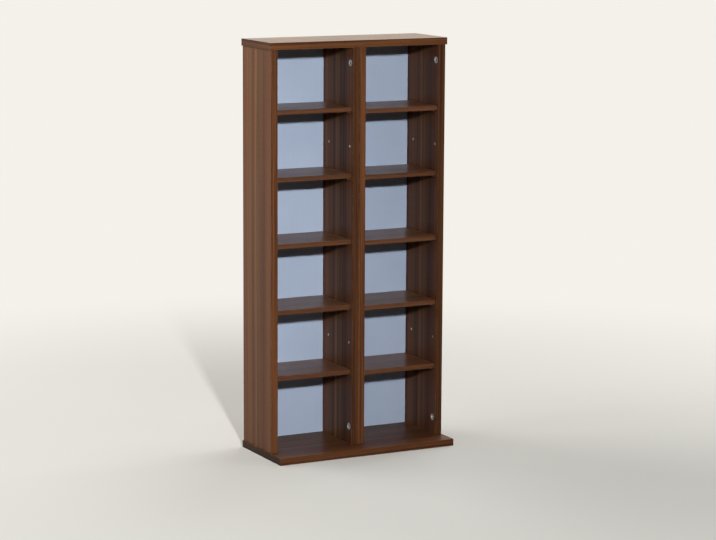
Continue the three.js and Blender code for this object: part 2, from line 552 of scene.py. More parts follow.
@dataclass(frozen=True)
class EdgeBand(Finish):
    """A printed edge band, warmer than the faces, streaked along its length."""

    name: str
    colour: Colour
    streak: Colour
    worn: Colour
    streaks: DrawnNoise = DrawnNoise(420.0, 2.6, 4.4)
    fibres: DrawnNoise = DrawnNoise(1500.0, 14.0, 8.2)
    pores: DrawnNoise = DrawnNoise(2100.0, 90.0, 6.6, 0.0)
    bends: DrawnNoise = DrawnNoise(6.0, 0.4, 1.9, 1.0)
    bend_reach: float = 0.0015
    fibre_depth: float = 0.3
    pore_depth: float = 0.28
    rim_depth: float = 0.22
    streak_step: Span = (-0.1, 0.16)
    pore_step: Span = (0.17, 0.26)
    rim_step: Span = (0.0022, 0.0004)
    rubs_per_metre: float = 45.0
    rub_reach: float = 0.003
    wear_step: Span = (0.0007, 0.0)
    wear_cover: float = 0.28
    relief: float = 0.00003
    roughness: float = 0.42
    specular: float = 0.1

    def surface(self, tree: ShaderTree) -> Term:
        """Writes the band's nodes.

        Args:
            tree: The material's tree.

        Returns:
            The shader.
        """
        across, along, _ = tree.parts(tree.uv(GRAIN_MAP))
        bend = across + self.bends.on(tree, along, 1.0) * self.bend_reach
        streak = self.streaks.on(tree, bend, along)
        fibre = self.fibres.on(tree, bend, along)
        pore = self.pores.on(tree, bend, along).eased(*self.pore_step)
        gap = tree.gap_to_edge()
        rim = gap.eased(*self.rim_step)
        rub = tree.noise(tree.place(), self.rubs_per_metre, 4.0)
        wear = (gap + rub * self.rub_reach).eased(*self.wear_step)

        depth = 1.0 + fibre * self.fibre_depth - pore * self.pore_depth - rim * self.rim_depth
        colour = tree.mixed(streak.eased(*self.streak_step), self.colour, self.streak)
        # The tone is the band's own streak of print, and on the base's ends also painted shade.
        colour = tree.scaled(colour, depth * tree.attribute(TONE, "Fac"))
        colour = tree.mixed(wear * self.wear_cover, colour, self.worn)
        rough = self.roughness + fibre * 0.14 + rub * 0.1 + wear * 0.15
        normal = tree.bump(fibre * 0.3 - pore * 0.4 - wear * 0.3, self.relief)
        return tree.principled(
            Base_Color=colour, Roughness=rough, Normal=normal, Specular_IOR_Level=self.specular
        )


@dataclass(frozen=True)
class ParticleCore(Finish):
    """Raw particle board: flat pale chips with darker glue and gaps between them."""

    name: str
    pale: Colour
    dark: Colour
    glue: Colour
    chips_across: float = 1500.0
    chips_along: float = 420.0
    warps_per_metre: float = 240.0
    warp_across: float = 1.6
    warp_along: float = 1.2
    strands_across: float = 5200.0
    strands_along: float = 900.0
    strand_layer: float = 2.0
    chip_shift: float = 9.0
    pits_per_metre: float = 900.0
    seam_step: Span = (0.14, 0.02)
    pit_step: Span = (0.15, 0.25)
    dark_step: Span = (0.1, 0.95)
    strand_depth: float = 0.5
    seam_cover: float = 0.6
    pit_cover: float = 0.8
    relief: float = 0.00015
    roughness: float = 0.86
    specular: float = 0.25

    def surface(self, tree: ShaderTree) -> Term:
        """Writes the core's nodes.

        Args:
            tree: The material's tree.

        Returns:
            The shader.
        """
        across, along, _ = tree.parts(tree.uv(GRAIN_MAP))
        warp = tree.noise(tree.place(), self.warps_per_metre, 2.0)
        warped_across = across * self.chips_across + warp * self.warp_across
        warped_along = along * self.chips_along + warp * self.warp_along
        at = tree.vector(warped_across, warped_along, 0.0)
        kind, turn, _ = tree.parts(tree.cells(at, 1.0, "Color"))
        edge = tree.cells(at, 1.0, "Distance", feature="DISTANCE_TO_EDGE")
        seam = edge.eased(*self.seam_step)
        shifted = across * self.strands_across + turn * self.chip_shift
        within = tree.vector(shifted, along * self.strands_along, self.strand_layer)
        strand = tree.noise(within, 1.0, 2.0)
        pit = tree.noise(tree.place(), self.pits_per_metre, 1.0).eased(*self.pit_step)

        colour = tree.mixed(kind.eased(*self.dark_step), self.pale, self.dark)
        colour = tree.scaled(colour, 1.0 + strand * self.strand_depth)
        gaps = (seam * self.seam_cover).most(pit * self.pit_cover)
        colour = tree.mixed(gaps, colour, self.glue)
        height = kind * 0.4 + strand * 0.5 - seam * 0.8 - pit
        return tree.principled(
            Base_Color=colour,
            Roughness=self.roughness + strand * 0.2,
            Normal=tree.bump(height, self.relief),
            Specular_IOR_Level=self.specular,
        )


@dataclass(frozen=True)
class WhiteLacquer(Finish):
    """Thin white roller-coated paint on hardboard, faintly blue, with a fine orange peel."""

    name: str
    white: Colour
    shaded: Colour
    rollers: DrawnNoise = DrawnNoise(260.0, 7.0, 0.0)
    clouds_per_metre: float = 5.0
    peel_per_metre: float = 620.0
    specks_per_metre: float = 1400.0
    speck_step: Span = (0.24, 0.32)
    speck_depth: float = 0.2
    edge_reach: float = 0.004
    edge_step: Span = (0.004, 0.0005)
    edge_depth: float = 0.08
    shade_step: Span = (-0.4, 0.4)
    relief: float = 0.00005
    roughness: float = 0.47
    specular: float = 0.2

    def surface(self, tree: ShaderTree) -> Term:
        """Writes the paint's nodes.

        Args:
            tree: The material's tree.

        Returns:
            The shader.
        """
        place = tree.place()
        x, _, z = tree.parts(place)
        cloud = tree.noise(place, self.clouds_per_metre, 3.0)
        roller = self.rollers.on(tree, x, z)
        peel = tree.noise(place, self.peel_per_metre, 2.0)
        speck = tree.noise(place, self.specks_per_metre, 0.0).eased(*self.speck_step)
        edge = (tree.gap_to_edge() + cloud * self.edge_reach).eased(*self.edge_step)

        shadow = (cloud * 0.8 + roller * 0.1 + peel * 0.25).eased(*self.shade_step)
        colour = tree.mixed(shadow, self.white, self.shaded)
        colour = tree.scaled(colour, 1.0 - speck * self.speck_depth - edge * self.edge_depth)
        return tree.principled(
            Base_Color=colour,
            Roughness=self.roughness + cloud * 0.16 + peel * 0.12 + edge * 0.1,
            Normal=tree.bump(peel * 0.8 + roller * 0.2 - edge * 0.3, self.relief),
            Specular_IOR_Level=self.specular,
        )


@dataclass(frozen=True)
class Hardboard(Finish):
    """The rough side of hardboard, with the weave of the screen it was pressed on."""

    name: str
    tan: Colour
    brown: Colour
    weave_pitch: float = 0.0011
    bends_per_metre: float = 60.0
    bend_reach: float = 0.0006
    fibres_per_metre: float = 750.0
    clouds_per_metre: float = 19.0
    shives_across: float = 900.0
    shives_along: float = 160.0
    shive_step: Span = (0.2, 0.3)
    shive_depth: float = 0.35
    scuff_reach: float = 0.006
    scuff_step: Span = (0.003, 0.0005)
    scuff_lift: float = 0.18
    brown_step: Span = (-0.35, 0.35)
    relief: float = 0.00016
    roughness: float = 0.8
    specular: float = 0.25

    def surface(self, tree: ShaderTree) -> Term:
        """Writes the hardboard's nodes.

        Args:
            tree: The material's tree.

        Returns:
            The shader.
        """
        place = tree.place()
        wander = tree.noise(place, self.bends_per_metre, 2.0) * self.bend_reach
        x, _, z = tree.parts(place)
        turn = FULL_TURN / self.weave_pitch
        weft = tree.math("SINE", (x + wander) * turn)
        warp = tree.math("SINE", (z + wander) * turn)
        weave = weft * warp
        fibre = tree.noise(place, self.fibres_per_metre, 4.0, 0.65)
        cloud = tree.noise(place, self.clouds_per_metre, 5.0, 0.6)
        upright = tree.vector(x * self.shives_across, 0.0, z * self.shives_along)
        shive = tree.noise(upright, 1.0, 1.0).eased(*self.shive_step)
        scuff = (tree.gap_to_edge() + cloud * self.scuff_reach).eased(*self.scuff_step)

        blend = (cloud * 0.3 + fibre * 0.9 + weave * 0.07).eased(*self.brown_step)
        colour = tree.mixed(blend, self.tan, self.brown)
        depth = 1.0 - shive * self.shive_depth + scuff * self.scuff_lift
        return tree.principled(
            Base_Color=tree.scaled(colour, depth),
            Roughness=self.roughness + fibre * 0.2 - shive * 0.1,
            Normal=tree.bump(weave * 0.5 + fibre * 1.1, self.relief),
            Specular_IOR_Level=self.specular,
        )


@dataclass(frozen=True)
class Metal(Finish):
    """Bare or plated metal with fine scratches, a mottled skin, and painted shade in its hollows."""

    name: str
    bright: Colour
    dull: Colour
    roughness: float
    grain_per_metre: float
    pitting: float
    drawn: Triple = (1.0, 1.0, 1.0)
    scratches: Triple = (900.0, 5200.0, 700.0)
    scratch_step: Span = (0.2, 0.27)
    clouds_per_metre: float = 260.0
    pits_per_metre: float = 2600.0
    pit_step: Span = (0.18, 0.3)
    pit_depth: float = 0.3
    dull_step: Span = (-0.3, 0.3)
    recess_shade_loss: float = 0.88
    relief: float = 0.00003

    def surface(self, tree: ShaderTree) -> Term:
        """Writes the metal's nodes.

        Args:
            tree: The material's tree.

        Returns:
            The shader.
        """
        place = tree.place()
        stretched = tree.vectors("MULTIPLY", place, self.drawn)
        grain = tree.noise(stretched, self.grain_per_metre, 3.0, 0.6)
        cloud = tree.noise(place, self.clouds_per_metre, 3.0)
        scratch = tree.noise(tree.vectors("MULTIPLY", place, self.scratches), 1.0, 1.0)
        line = scratch.eased(*self.scratch_step)
        pit = tree.noise(place, self.pits_per_metre, 1.0).eased(*self.pit_step) * self.pitting

        dullness = (cloud * 1.2 + grain * 0.8).eased(*self.dull_step)
        colour = tree.mixed(dullness, self.bright, self.dull)
        # Painted shade: marked faces in hollows are darkened and made rougher.
        sunk = tree.attribute(RECESS_SHADE, "Fac")
        depth = (1.0 - pit * self.pit_depth) * (1.0 - sunk * self.recess_shade_loss)
        rough = self.roughness + cloud * 0.22 + grain * 0.15 + pit * 0.2 - line * 0.06 + sunk * 0.2
        return tree.principled(
            Base_Color=tree.scaled(colour, depth),
            Roughness=rough,
            Normal=tree.bump(grain * 0.6 - pit - line * 0.4, self.relief),
            Metallic=1.0,
        )


@dataclass(frozen=True)
class Beech(Finish):
    """Turned beech of the dowels, with short dark rays."""

    name: str
    pale: Colour
    ray: Colour
    grain: Triple = (900.0, 900.0, 90.0)
    grain_step: Span = (-0.25, 0.25)
    grain_cover: float = 0.6
    rays: Triple = (2600.0, 2600.0, 420.0)
    ray_step: Span = (0.14, 0.24)
    ray_cover: float = 0.7
    relief: float = 0.00006
    roughness: float = 0.68
    specular: float = 0.3

    def surface(self, tree: ShaderTree) -> Term:
        """Writes the beech's nodes.

        Args:
            tree: The material's tree.

        Returns:
            The shader.
        """
        place = tree.place()
        grain = tree.noise(tree.vectors("MULTIPLY", place, self.grain), 1.0, 3.0)
        rays = tree.noise(tree.vectors("MULTIPLY", place, self.rays), 1.0, 1.0)
        fleck = rays.eased(*self.ray_step)
        darker = grain.eased(*self.grain_step) * self.grain_cover
        colour = tree.mixed(darker, self.pale, self.ray)
        return tree.principled(
            Base_Color=tree.mixed(fleck * self.ray_cover, colour, self.ray),
            Roughness=self.roughness + grain * 0.2,
            Normal=tree.bump(grain - fleck * 0.6, self.relief),
            Specular_IOR_Level=self.specular,
        )


WALNUT = WalnutPrint(
    name="walnut_print",
    olive=shade(99, 68, 40),
    rose=shade(106, 64, 41),
    worn=shade(136, 98, 68),
    streaks=(
        Streak(0.008, 0.007, 0.1, 0.08),
        Streak(0.022, 0.007, -0.04, 0.12),
        Streak(0.044, 0.013, -0.13, 0.1),
        Streak(0.066, 0.005, -0.03, -0.12),
        Streak(0.0765, 0.004, 0.32, 0.02),
        Streak(0.0905, 0.0065, -0.26, 0.04),
        Streak(0.103, 0.005, 0.02, -0.14),
        Streak(0.123, 0.015, 0.09, 0.12),
    ),
)
# Painted sheen: the top's print is lighter and yellower than the other boards', standing for the pale
# glare on its upper face seen at a grazing angle.
TOP_WALNUT_PAINTED_SHEEN = replace(
    WALNUT,
    name="top_walnut_print",
    olive=shade(124, 90, 51),
    rose=shade(129, 86, 52),
    roughness=0.3,
    specular=0.5,
)
SHELF_WALNUT = WalnutPrint(
    name="shelf_walnut_print",
    olive=shade(103, 70, 41),
    rose=shade(110, 67, 41),
    worn=shade(136, 98, 68),
    streaks=(
        Streak(0.021, 0.006, 0.18),
        Streak(0.052, 0.012, -0.2),
        Streak(0.088, 0.008, 0.18),
        Streak(0.118, 0.01, -0.14),
    ),
    roughness=0.37,
    specular=0.34,
)
BAND = EdgeBand(
    name="edge_band_print",
    colour=shade(98, 60, 34),
    streak=shade(64, 36, 21),
    worn=shade(134, 94, 62),
)
SHELF_BAND = EdgeBand(
    name="shelf_edge_band_print",
    colour=shade(94, 59, 38),
    streak=shade(70, 42, 27),
    worn=shade(134, 94, 62),
    streaks=DrawnNoise(520.0, 2.6, 4.4),
)
CORE = ParticleCore(
    name="particle_core",
    pale=shade(198, 185, 164),
    dark=shade(160, 143, 120),
    glue=shade(100, 86, 68),
)
LACQUER = WhiteLacquer(
    name="white_lacquer",
    white=shade(164, 177, 197),
    shaded=shade(148, 162, 184),
)
HARDBOARD = Hardboard(
    name="hardboard_rear",
    tan=shade(160, 120, 82),
    brown=shade(118, 82, 54),
)
ZINC = Metal(
    name="cast_zinc",
    bright=shade(232, 232, 230),
    dull=shade(196, 197, 198),
    roughness=0.42,
    grain_per_metre=1500.0,
    pitting=1.0,
)
NICKEL = Metal(
    name="nickel_plated_steel",
    bright=shade(176, 172, 164),
    dull=shade(128, 125, 119),
    roughness=0.36,
    grain_per_metre=2400.0,
    pitting=0.35,
    drawn=(0.12, 1.0, 1.0),
)
# Painted shade: the shelf pins are given a dark brown colour that stands for the shade they sit in
# under the shelves.
PIN_STEEL_PAINTED_SHADE = Metal(
    name="pin_steel_painted_shade",
    bright=shade(78, 66, 56),
    dull=shade(52, 44, 38),
    roughness=0.5,
    grain_per_metre=2400.0,
    pitting=0.35,
    drawn=(0.12, 1.0, 1.0),
)
WIRE = Metal(
    name="bright_wire",
    bright=shade(168, 166, 163),
    dull=shade(112, 109, 106),
    roughness=0.42,
    grain_per_metre=2000.0,
    pitting=0.8,
)
BEECH = Beech(
    name="turned_beech",
    pale=shade(222, 184, 139),
    ray=shade(172, 122, 80),
)


# Meshes


def add_block(
    mesh: bmesh.types.BMesh, low: Vector, high: Vector, ease: float, segments: int = 2
) -> None:
    """Adds a block with rounded edges to a mesh.

    Args:
        mesh: The mesh that grows.
        low: The block's lowest corner.
        high: The block's highest corner.
        ease: Radius of its edges.
        segments: Faces across each edge.
    """
    size = high - low
    place = Matrix.Translation((low + high) / 2) @ Matrix.Diagonal((*size, 1.0))
    made = bmesh.ops.create_cube(mesh, size=1.0, matrix=place)
    edges = {edge for vertex in made["verts"] for edge in vertex.link_edges}
    bmesh.ops.bevel(
        mesh,
        geom=list(edges),
        offset=ease,
        offset_type="OFFSET",
        segments=segments,
        profile=0.5,
        affect="EDGES",
        clamp_overlap=True,
    )


def add_turned(
    mesh: bmesh.types.BMesh, outline: Outline, foot: Vector, along: Vector, sides: int
) -> None:
    """Adds a closed turned shape to a mesh.

    Args:
        mesh: The mesh that grows.
        outline: Pairs of a height over the foot and a radius, both ends closed by a pole.
        foot: Where height is zero.
        along: The axis, of length 1.
        sides: Faces round the axis.
    """
    first = along.orthogonal().normalized()
    second = along.cross(first)
    turns = [FULL_TURN * step / sides for step in range(sides)]
    rings = []
    for height, radius in outline:
        centre = foot + along * height
        rings.append(
            [
                mesh.verts.new(centre + (first * math.cos(t) + second * math.sin(t)) * radius)
                for t in turns
            ]
        )
    for lower, upper in zip(rings, rings[1:]):
        for step in range(sides):
            after = (step + 1) % sides
            mesh.faces.new((lower[step], lower[after], upper[after], upper[step]))
    mesh.faces.new(list(reversed(rings[0])))
    mesh.faces.new(rings[-1])


def part_cells(mesh: bmesh.types.BMesh, points: Sequence[Vector], clear: float = 0.011) -> None:
    """Cuts a mesh's faces between points, so that a hole at each point has its faces to itself.

    Args:
        mesh: The mesh, which keeps its shape.
        points: Where holes will be cut.
        clear: Points nearer to each other than this, along an axis, stay in one cell.
    """
    for axis, normal in enumerate((X_AXIS, Y_AXIS, Z_AXIS)):
        steps = sorted({round(point[axis], DECIMALS) for point in points})
        for before, after in zip(steps, steps[1:]):
            if after - before > clear:
                bmesh.ops.bisect_plane(
                    mesh,
                    geom=[*mesh.verts, *mesh.edges, *mesh.faces],
                    plane_co=normal * ((before + after) / 2),
                    plane_no=normal,
                )


def object_of(name: str, mesh: bmesh.types.BMesh) -> bpy.types.Object:
    """Turns a mesh under construction into an object at the origin, its faces facing out.

    Args:
        name: The object's name.
        mesh: The mesh, which is freed.

    Returns:
        The object, linked to the scene.
    """
    bmesh.ops.recalc_face_normals(mesh, faces=mesh.faces)
    data = bpy.data.meshes.new(name)
    mesh.to_mesh(data)
    mesh.free()
    made = bpy.data.objects.new(name, data)
    bpy.context.scene.collection.objects.link(made)
    return made


def bake_modifiers(piece: bpy.types.Object) -> None:
    """Turns what a piece's modifiers make into its own plain mesh, and removes them.

    Args:
        piece: The piece.
    """
    graph = bpy.context.evaluated_depsgraph_get()
    made = bpy.data.meshes.new_from_object(piece.evaluated_get(graph), depsgraph=graph)
    made.name = piece.name
    piece.modifiers.clear()
    piece.data = made


def join_frame(
    piece: bpy.types.Object, body: str, nodes: Sequence[str] = ()
) -> None:
    """Makes a finished piece ride on a body and stand for its CAD nodes.

    Args:
        piece: The piece.
        body: The CAD body that it moves with.
        nodes: The CAD nodes that it stands for.
    """
    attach(piece, body)
    if nodes:
        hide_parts(*nodes)
    faces = len(piece.data.polygons)
    log.info("%s rides on %s, %d faces, for %d nodes", piece.name, body, faces, len(nodes))


def set_attribute(data: bpy.types.Mesh, name: str, kind: str, values: Sequence[Any]) -> None:
    """Stores one value for each vertex.

    Args:
        data: The mesh.
        name: The attribute's name.
        kind: FLOAT or FLOAT_VECTOR.
        values: The values, in the order of the vertices.
    """
    made = data.attributes.new(name, kind, "POINT")
    if kind == "FLOAT":
        made.data.foreach_set("value", values)
    else:
        made.data.foreach_set("vector", [part for value in values for part in value])


@dataclass(frozen=True)
class Bore:
    """A round hole that is cut into a board."""

    mouth: Vector
    into: Vector
    depth: float
    radius: float
    countersink: float = 0.0
    point: float = 0.0
    sides: int = 24
    overrun: float = 0.001
    tip_share: float = 0.05

    def add_to(self, mesh: bmesh.types.BMesh) -> None:
        """Adds the tool that cuts this hole.

        Args:
            mesh: The mesh that grows.
        """
        rim = self.radius + self.countersink
        outline = [(-self.overrun, rim), (0.0, rim), (self.depth, self.radius)]
        if self.countersink:
            outline.insert(2, (self.countersink, self.radius))
        if self.point:
            outline.append((self.depth + self.point, self.radius * self.tip_share))
        add_turned(mesh, outline, self.mouth, self.into, self.sides)


@dataclass
class Board:
    """A board with printed faces, a raw core, and bands glued to some of its edges.

    The print's U runs from the board's front edge, and its V along the grain.
    """

    name: str
    low: Vector
    high: Vector
    grain: Grain
    face: Finish
    band: Finish
    banded: Mapping[Edge, float]
    along_start: float = 0.0
    face_tones: tuple[float, float] = (1.0, 1.0)
    ease: float = 0.0004
    band_thickness: float = 0.0008
    band_ease: float = 0.00025
    joint: float = 0.00003

    def thin_axis(self) -> int:
        """The axis of the board's thickness."""
        return Grain.ACROSS.value if self.grain is Grain.UP else Grain.UP.value

    def make_board(self, cuts: Sequence[Sequence[Bore]]) -> bpy.types.Object:
        """Makes the board itself, without its bands.

        Args:
            cuts: Groups of bores. The bores of one group don't meet each other.

        Returns:
            The board's object.
        """
        low, high = self.low.copy(), self.high.copy()
        for edge in self.banded:
            axis, sense = edge.value
            if sense < 0:
                low[axis] += self.band_thickness + self.joint
            else:
                high[axis] -= self.band_thickness + self.joint
        mesh = bmesh.new()
        add_block(mesh, low, high, self.ease)
        part_cells(mesh, [bore.mouth for bores in cuts for bore in bores])
        board = object_of(f"{self.name}_board", mesh)
        board.data.materials.append(self.face.material())
        board.data.materials.append(CORE.material())
        self.mark_faces(board.data)
        self.cut(board, cuts)
        self.map_grain(board.data)
        thin = self.thin_axis()
        middle = (self.low[thin] + self.high[thin]) / 2
        tones = [self.face_tones[vertex.co[thin] > middle] for vertex in board.data.vertices]
        self.store_place(board.data, tones)
        return board

    def make_bands(self) -> bpy.types.Object:
        """Makes the board's bands, each with its tone.

        Returns:
            The bands, as one object.
        """
        mesh = bmesh.new()
        tones = []
        for edge, tone in self.banded.items():
            low, high = self.low.copy(), self.high.copy()
            axis, sense = edge.value
            if sense < 0:
                high[axis] = low[axis] + self.band_thickness
            else:
                low[axis] = high[axis] - self.band_thickness
            if edge is not Edge.FRONT and Edge.FRONT in self.banded:
                low.y += self.band_thickness + self.joint
            add_block(mesh, low, high, self.band_ease)
            tones += [tone] * (len(mesh.verts) - len(tones))
        bands = object_of(f"{self.name}_band", mesh)
        bands.data.materials.append(self.band.material())
        self.map_grain(bands.data)
        self.store_place(bands.data, tones)
        return bands

    def mark_faces(self, data: bpy.types.Mesh) -> None:
        """Gives the two printed faces the print, and the edges the core.

        Args:
            data: The board's mesh.
        """
        thin = self.thin_axis()
        for polygon in data.polygons:
            printed = abs(polygon.normal[thin]) > FACING
            polygon.material_index = (Surface.FACE if printed else Surface.CORE).value

    def cut(self, board: bpy.types.Object, cuts: Sequence[Sequence[Bore]]) -> None:
        """Cuts groups of bores into a board.

        Args:
            board: The board's object.
            cuts: Groups of bores. The bores of one group don't meet each other.
        """
        tools = []
        for bores in cuts:
            mesh = bmesh.new()
            for bore in bores:
                bore.add_to(mesh)
            tool = object_of("bore_tool", mesh)
            tool.data.materials.append(CORE.material())
            for polygon in tool.data.polygons:
                polygon.use_smooth = len(polygon.vertices) == 4
            cutting = board.modifiers.new("bores", "BOOLEAN")
            cutting.operation = "DIFFERENCE"
            cutting.solver = "EXACT"
            cutting.material_mode = "TRANSFER"
            cutting.object = tool
            tools.append(tool)
        if tools:
            bake_modifiers(board)
        for tool in tools:
            bpy.data.meshes.remove(tool.data)

    def map_grain(self, data: bpy.types.Mesh) -> None:
        """Lays the grain map over a mesh, each face seen along the axis it faces most.

        Args:
            data: The mesh.
        """
        thin, grain = self.thin_axis(), self.grain.value
        wide = 3 - thin - grain
        grain_map = data.uv_layers.new(name=GRAIN_MAP)
        for polygon in data.polygons:
            facing = max(range(3), key=lambda axis: abs(polygon.normal[axis]))
            across = wide if facing == thin else thin
            along = wide if facing == grain else grain
            for corner in polygon.loop_indices:
                point = data.vertices[data.loops[corner].vertex_index].co
                u = point[across] - self.low[across]
                v = point[along] - self.low[along] + self.along_start
                grain_map.data[corner].uv = (u, v)

    def store_place(self, data: bpy.types.Mesh, tones: Sequence[float]) -> None:
        """Stores the whole board's middle and half size, and each vertex's tone.

        Args:
            data: The mesh.
            tones: The brightness of the print at each vertex, which on some boards also carries painted
                shade, and on the top painted sheen.
        """
        count = len(data.vertices)
        middle, half = (self.low + self.high) / 2, (self.high - self.low) / 2
        set_attribute(data, MIDDLE, "FLOAT_VECTOR", [middle] * count)
        set_attribute(data, HALF, "FLOAT_VECTOR", [half] * count)
        set_attribute(data, TONE, "FLOAT", tones)


# The boards of the rack


@dataclass(frozen=True)
class Joinery:
    """Sizes of the holes and fittings that hold the rack together."""

    pin_hole_radius: float = 0.0027
    pin_hole_depth: float = 0.01
    pin_hole_point: float = 0.0009
    countersink: float = 0.00025
    tall_share: float = 1.5
    cam_radius: float = 0.0073
    cam_gap: float = 0.0005
    cam_length: float = 0.012
    pocket_radius: float = 0.0075
    pocket_depth: float = 0.0122
    pocket_countersink: float = 0.0002
    pocket_sides: int = 40
    bolt_radius: float = 0.003
    bolt_bore: float = 0.0032
    screw_radius: float = 0.0024
    screw_length: float = 0.01
    end_dowel_radius: float = 0.004
    end_dowel_reach: float = 0.009
    end_dowel_spare: float = 0.001
    shelf_dowel_radius: float = 0.003
    shelf_dowel_reach: float = 0.008
    shelf_dowel_stub: float = 0.0082
    dowel_clearance: float = 0.0002


JOINERY = Joinery()
ROWS = ("front", "rear")
LOOSE_SHELVES = (1, 2, 4, 5)
FIXED_SHELF = 3
SHELF_TONES = {
    "left": (0.99, 0.88, 0.98, 0.9, 1.06),
    "right": (1.2, 0.9, 1.0, 1.13, 1.0),
}

# Where along the printed sheet the shelves are cut from, in metres
SHEET_START = 9.0
SHEET_PER_COLUMN = 5.0
SHEET_PER_SHELF = 0.83


@dataclass(frozen=True)
class UprightPlan:
    """Which bay an upright looks into, how its prints turned out, and how much darker its face in the
    bay is toned, as painted shade.
    """

    name: str
    column: str
    edge: str
    facing: int
    band_tone: float
    along_start: float
    # Painted shade: the face in the bay is toned darker than the outer face.
    bay_shade_tone: float = 0.7


UPRIGHTS = (
    UprightPlan("left_side", "left", "left", 1, 1.0, 0.0),
    UprightPlan("left_divider", "left", "right", -1, 0.6, 1.31),
    UprightPlan("right_divider", "right", "left", 1, 1.02, 2.77),
    UprightPlan("right_side", "right", "right", -1, 0.6, 4.09),
)


def pin_nodes(column: str, shelf: int, edge: str) -> list[str]:
    """The names of a shelf's two pins at one side of its bay."""
    return [f"{column}_shelf_{shelf}_pin_{edge}_{row}" for row in ROWS]


def middle_of(node: str) -> Vector:
    """The middle of a CAD node's box."""
    low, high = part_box(node)
    return (low + high) / 2


def cam_centre(node: str) -> Vector:
    """The middle of a cam's drum, whose node's box also holds the bolt.

    Args:
        node: The cam's node.

    Returns:
        The middle.
    """
    low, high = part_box(node)
    centre = (low + high) / 2
    radius = JOINERY.cam_radius
    centre.z = low.z + radius if node.endswith("top_cam") else high.z - radius
    return centre


@dataclass
class Upright:
    """An upright, drilled for pins, dowels and cams, with a band on its front edge."""

    plan: UprightPlan
    joinery: Joinery = JOINERY

    def __post_init__(self) -> None:
        """Finds the board's corners and its bay face."""
        low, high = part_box(self.plan.name)
        self.low, self.high = low.copy(), high.copy()
        self.low.z += self.joinery.end_dowel_reach
        self.high.z -= self.joinery.end_dowel_reach
        self.bay_face = self.high.x if self.plan.facing > 0 else self.low.x
        self.into = X_AXIS * -self.plan.facing

    def build(self) -> None:
        """Builds the board and its band, and joins them to the frame."""
        # The darker tone of the face in the bay is painted shade.
        tones = (1.0, self.plan.bay_shade_tone)
        board = Board(
            name=self.plan.name,
            low=self.low,
            high=self.high,
            grain=Grain.UP,
            face=WALNUT,
            band=BAND,
            banded={Edge.FRONT: self.plan.band_tone},
            along_start=self.plan.along_start,
            face_tones=tones if self.plan.facing > 0 else tones[::-1],
        )
        made = board.make_board([self.face_bores(), self.end_bores()])
        join_frame(made, CARCASS, [self.plan.name])
        join_frame(board.make_bands(), CARCASS)

    def on_face(self, y: float, z: float) -> Vector:
        """A point on the bay face."""
        return Vector((self.bay_face, y, z))

    @staticmethod
    def rows_of(places: Sequence[tuple[float, float]]) -> list[float]:
        """The Y of each row of pin holes, from the front."""
        return sorted({round(y, DECIMALS) for y, _ in places})

    def pin_places(self) -> list[tuple[float, float]]:
        """Finds all pin holes: those in use, then the spare ones for tall cases.

        Returns:
            The Y and Z of each.
        """
        column, edge = self.plan.column, self.plan.edge
        places = []
        for shelf in LOOSE_SHELVES:
            for node in pin_nodes(column, shelf, edge):
                centre = middle_of(node)
                places.append((centre.y, centre.z))
        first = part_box(f"{column}_shelf_{LOOSE_SHELVES[0]}")[0].z
        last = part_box(f"{column}_shelf_{LOOSE_SHELVES[-1]}")[0].z
        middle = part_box(f"{column}_shelf_{FIXED_SHELF}")[0].z
        below_shelf = first - places[0][1]
        tall = self.joinery.tall_share * (first - last) / len(LOOSE_SHELVES)
        rows = self.rows_of(places)
        for z in (middle + tall, middle - tall):
            places += [(y, z - below_shelf) for y in rows]
        return places

    def face_bores(self) -> list[Bore]:
        """Plans the bores that open on the bay face.

        Returns:
            The bores for the pins, the fixed shelf's dowels and the cams.
        """
        sizes = self.joinery
        places = self.pin_places()
        bores = [
            Bore(
                self.on_face(y, z),
                self.into,
                sizes.pin_hole_depth,
                sizes.pin_hole_radius,
                sizes.countersink,
                point=sizes.pin_hole_point,
            )
            for y, z in places
        ]
        fixed = middle_of(f"{self.plan.column}_shelf_{FIXED_SHELF}").z
        dowel_radius = sizes.shelf_dowel_radius + sizes.dowel_clearance
        for y in self.rows_of(places):
            depth = sizes.shelf_dowel_stub
            bores.append(Bore(self.on_face(y, fixed), self.into, depth, dowel_radius))
        for end in ("top", "base"):
            centre = cam_centre(f"{self.plan.name}_{end}_cam")
            bores.append(
                Bore(
                    self.on_face(centre.y, centre.z),
                    self.into,
                    sizes.pocket_depth,
                    sizes.pocket_radius,
                    sizes.pocket_countersink,
                    sides=sizes.pocket_sides,
                )
            )
        return bores

    def end_bores(self) -> list[Bore]:
        """Plans the bores that open on the two ends.

        Returns:
            The bores for the bolts and the dowels.
        """
        sizes = self.joinery
        dowel_radius = sizes.end_dowel_radius + sizes.dowel_clearance
        dowel_depth = sizes.end_dowel_reach + sizes.end_dowel_spare
        middle = (self.low.x + self.high.x) / 2
        rear = middle_of(pin_nodes(self.plan.column, 1, self.plan.edge)[1]).y
        bores = []
        for end, z, into in (("top", self.high.z, -Z_AXIS), ("base", self.low.z, Z_AXIS)):
            centre = cam_centre(f"{self.plan.name}_{end}_cam")
            mouth = Vector((middle, centre.y, z))
            bores.append(Bore(mouth, into, abs(z - centre.z), sizes.bolt_bore))
            bores.append(Bore(Vector((middle, rear, z)), into, dowel_depth, dowel_radius))
        return bores


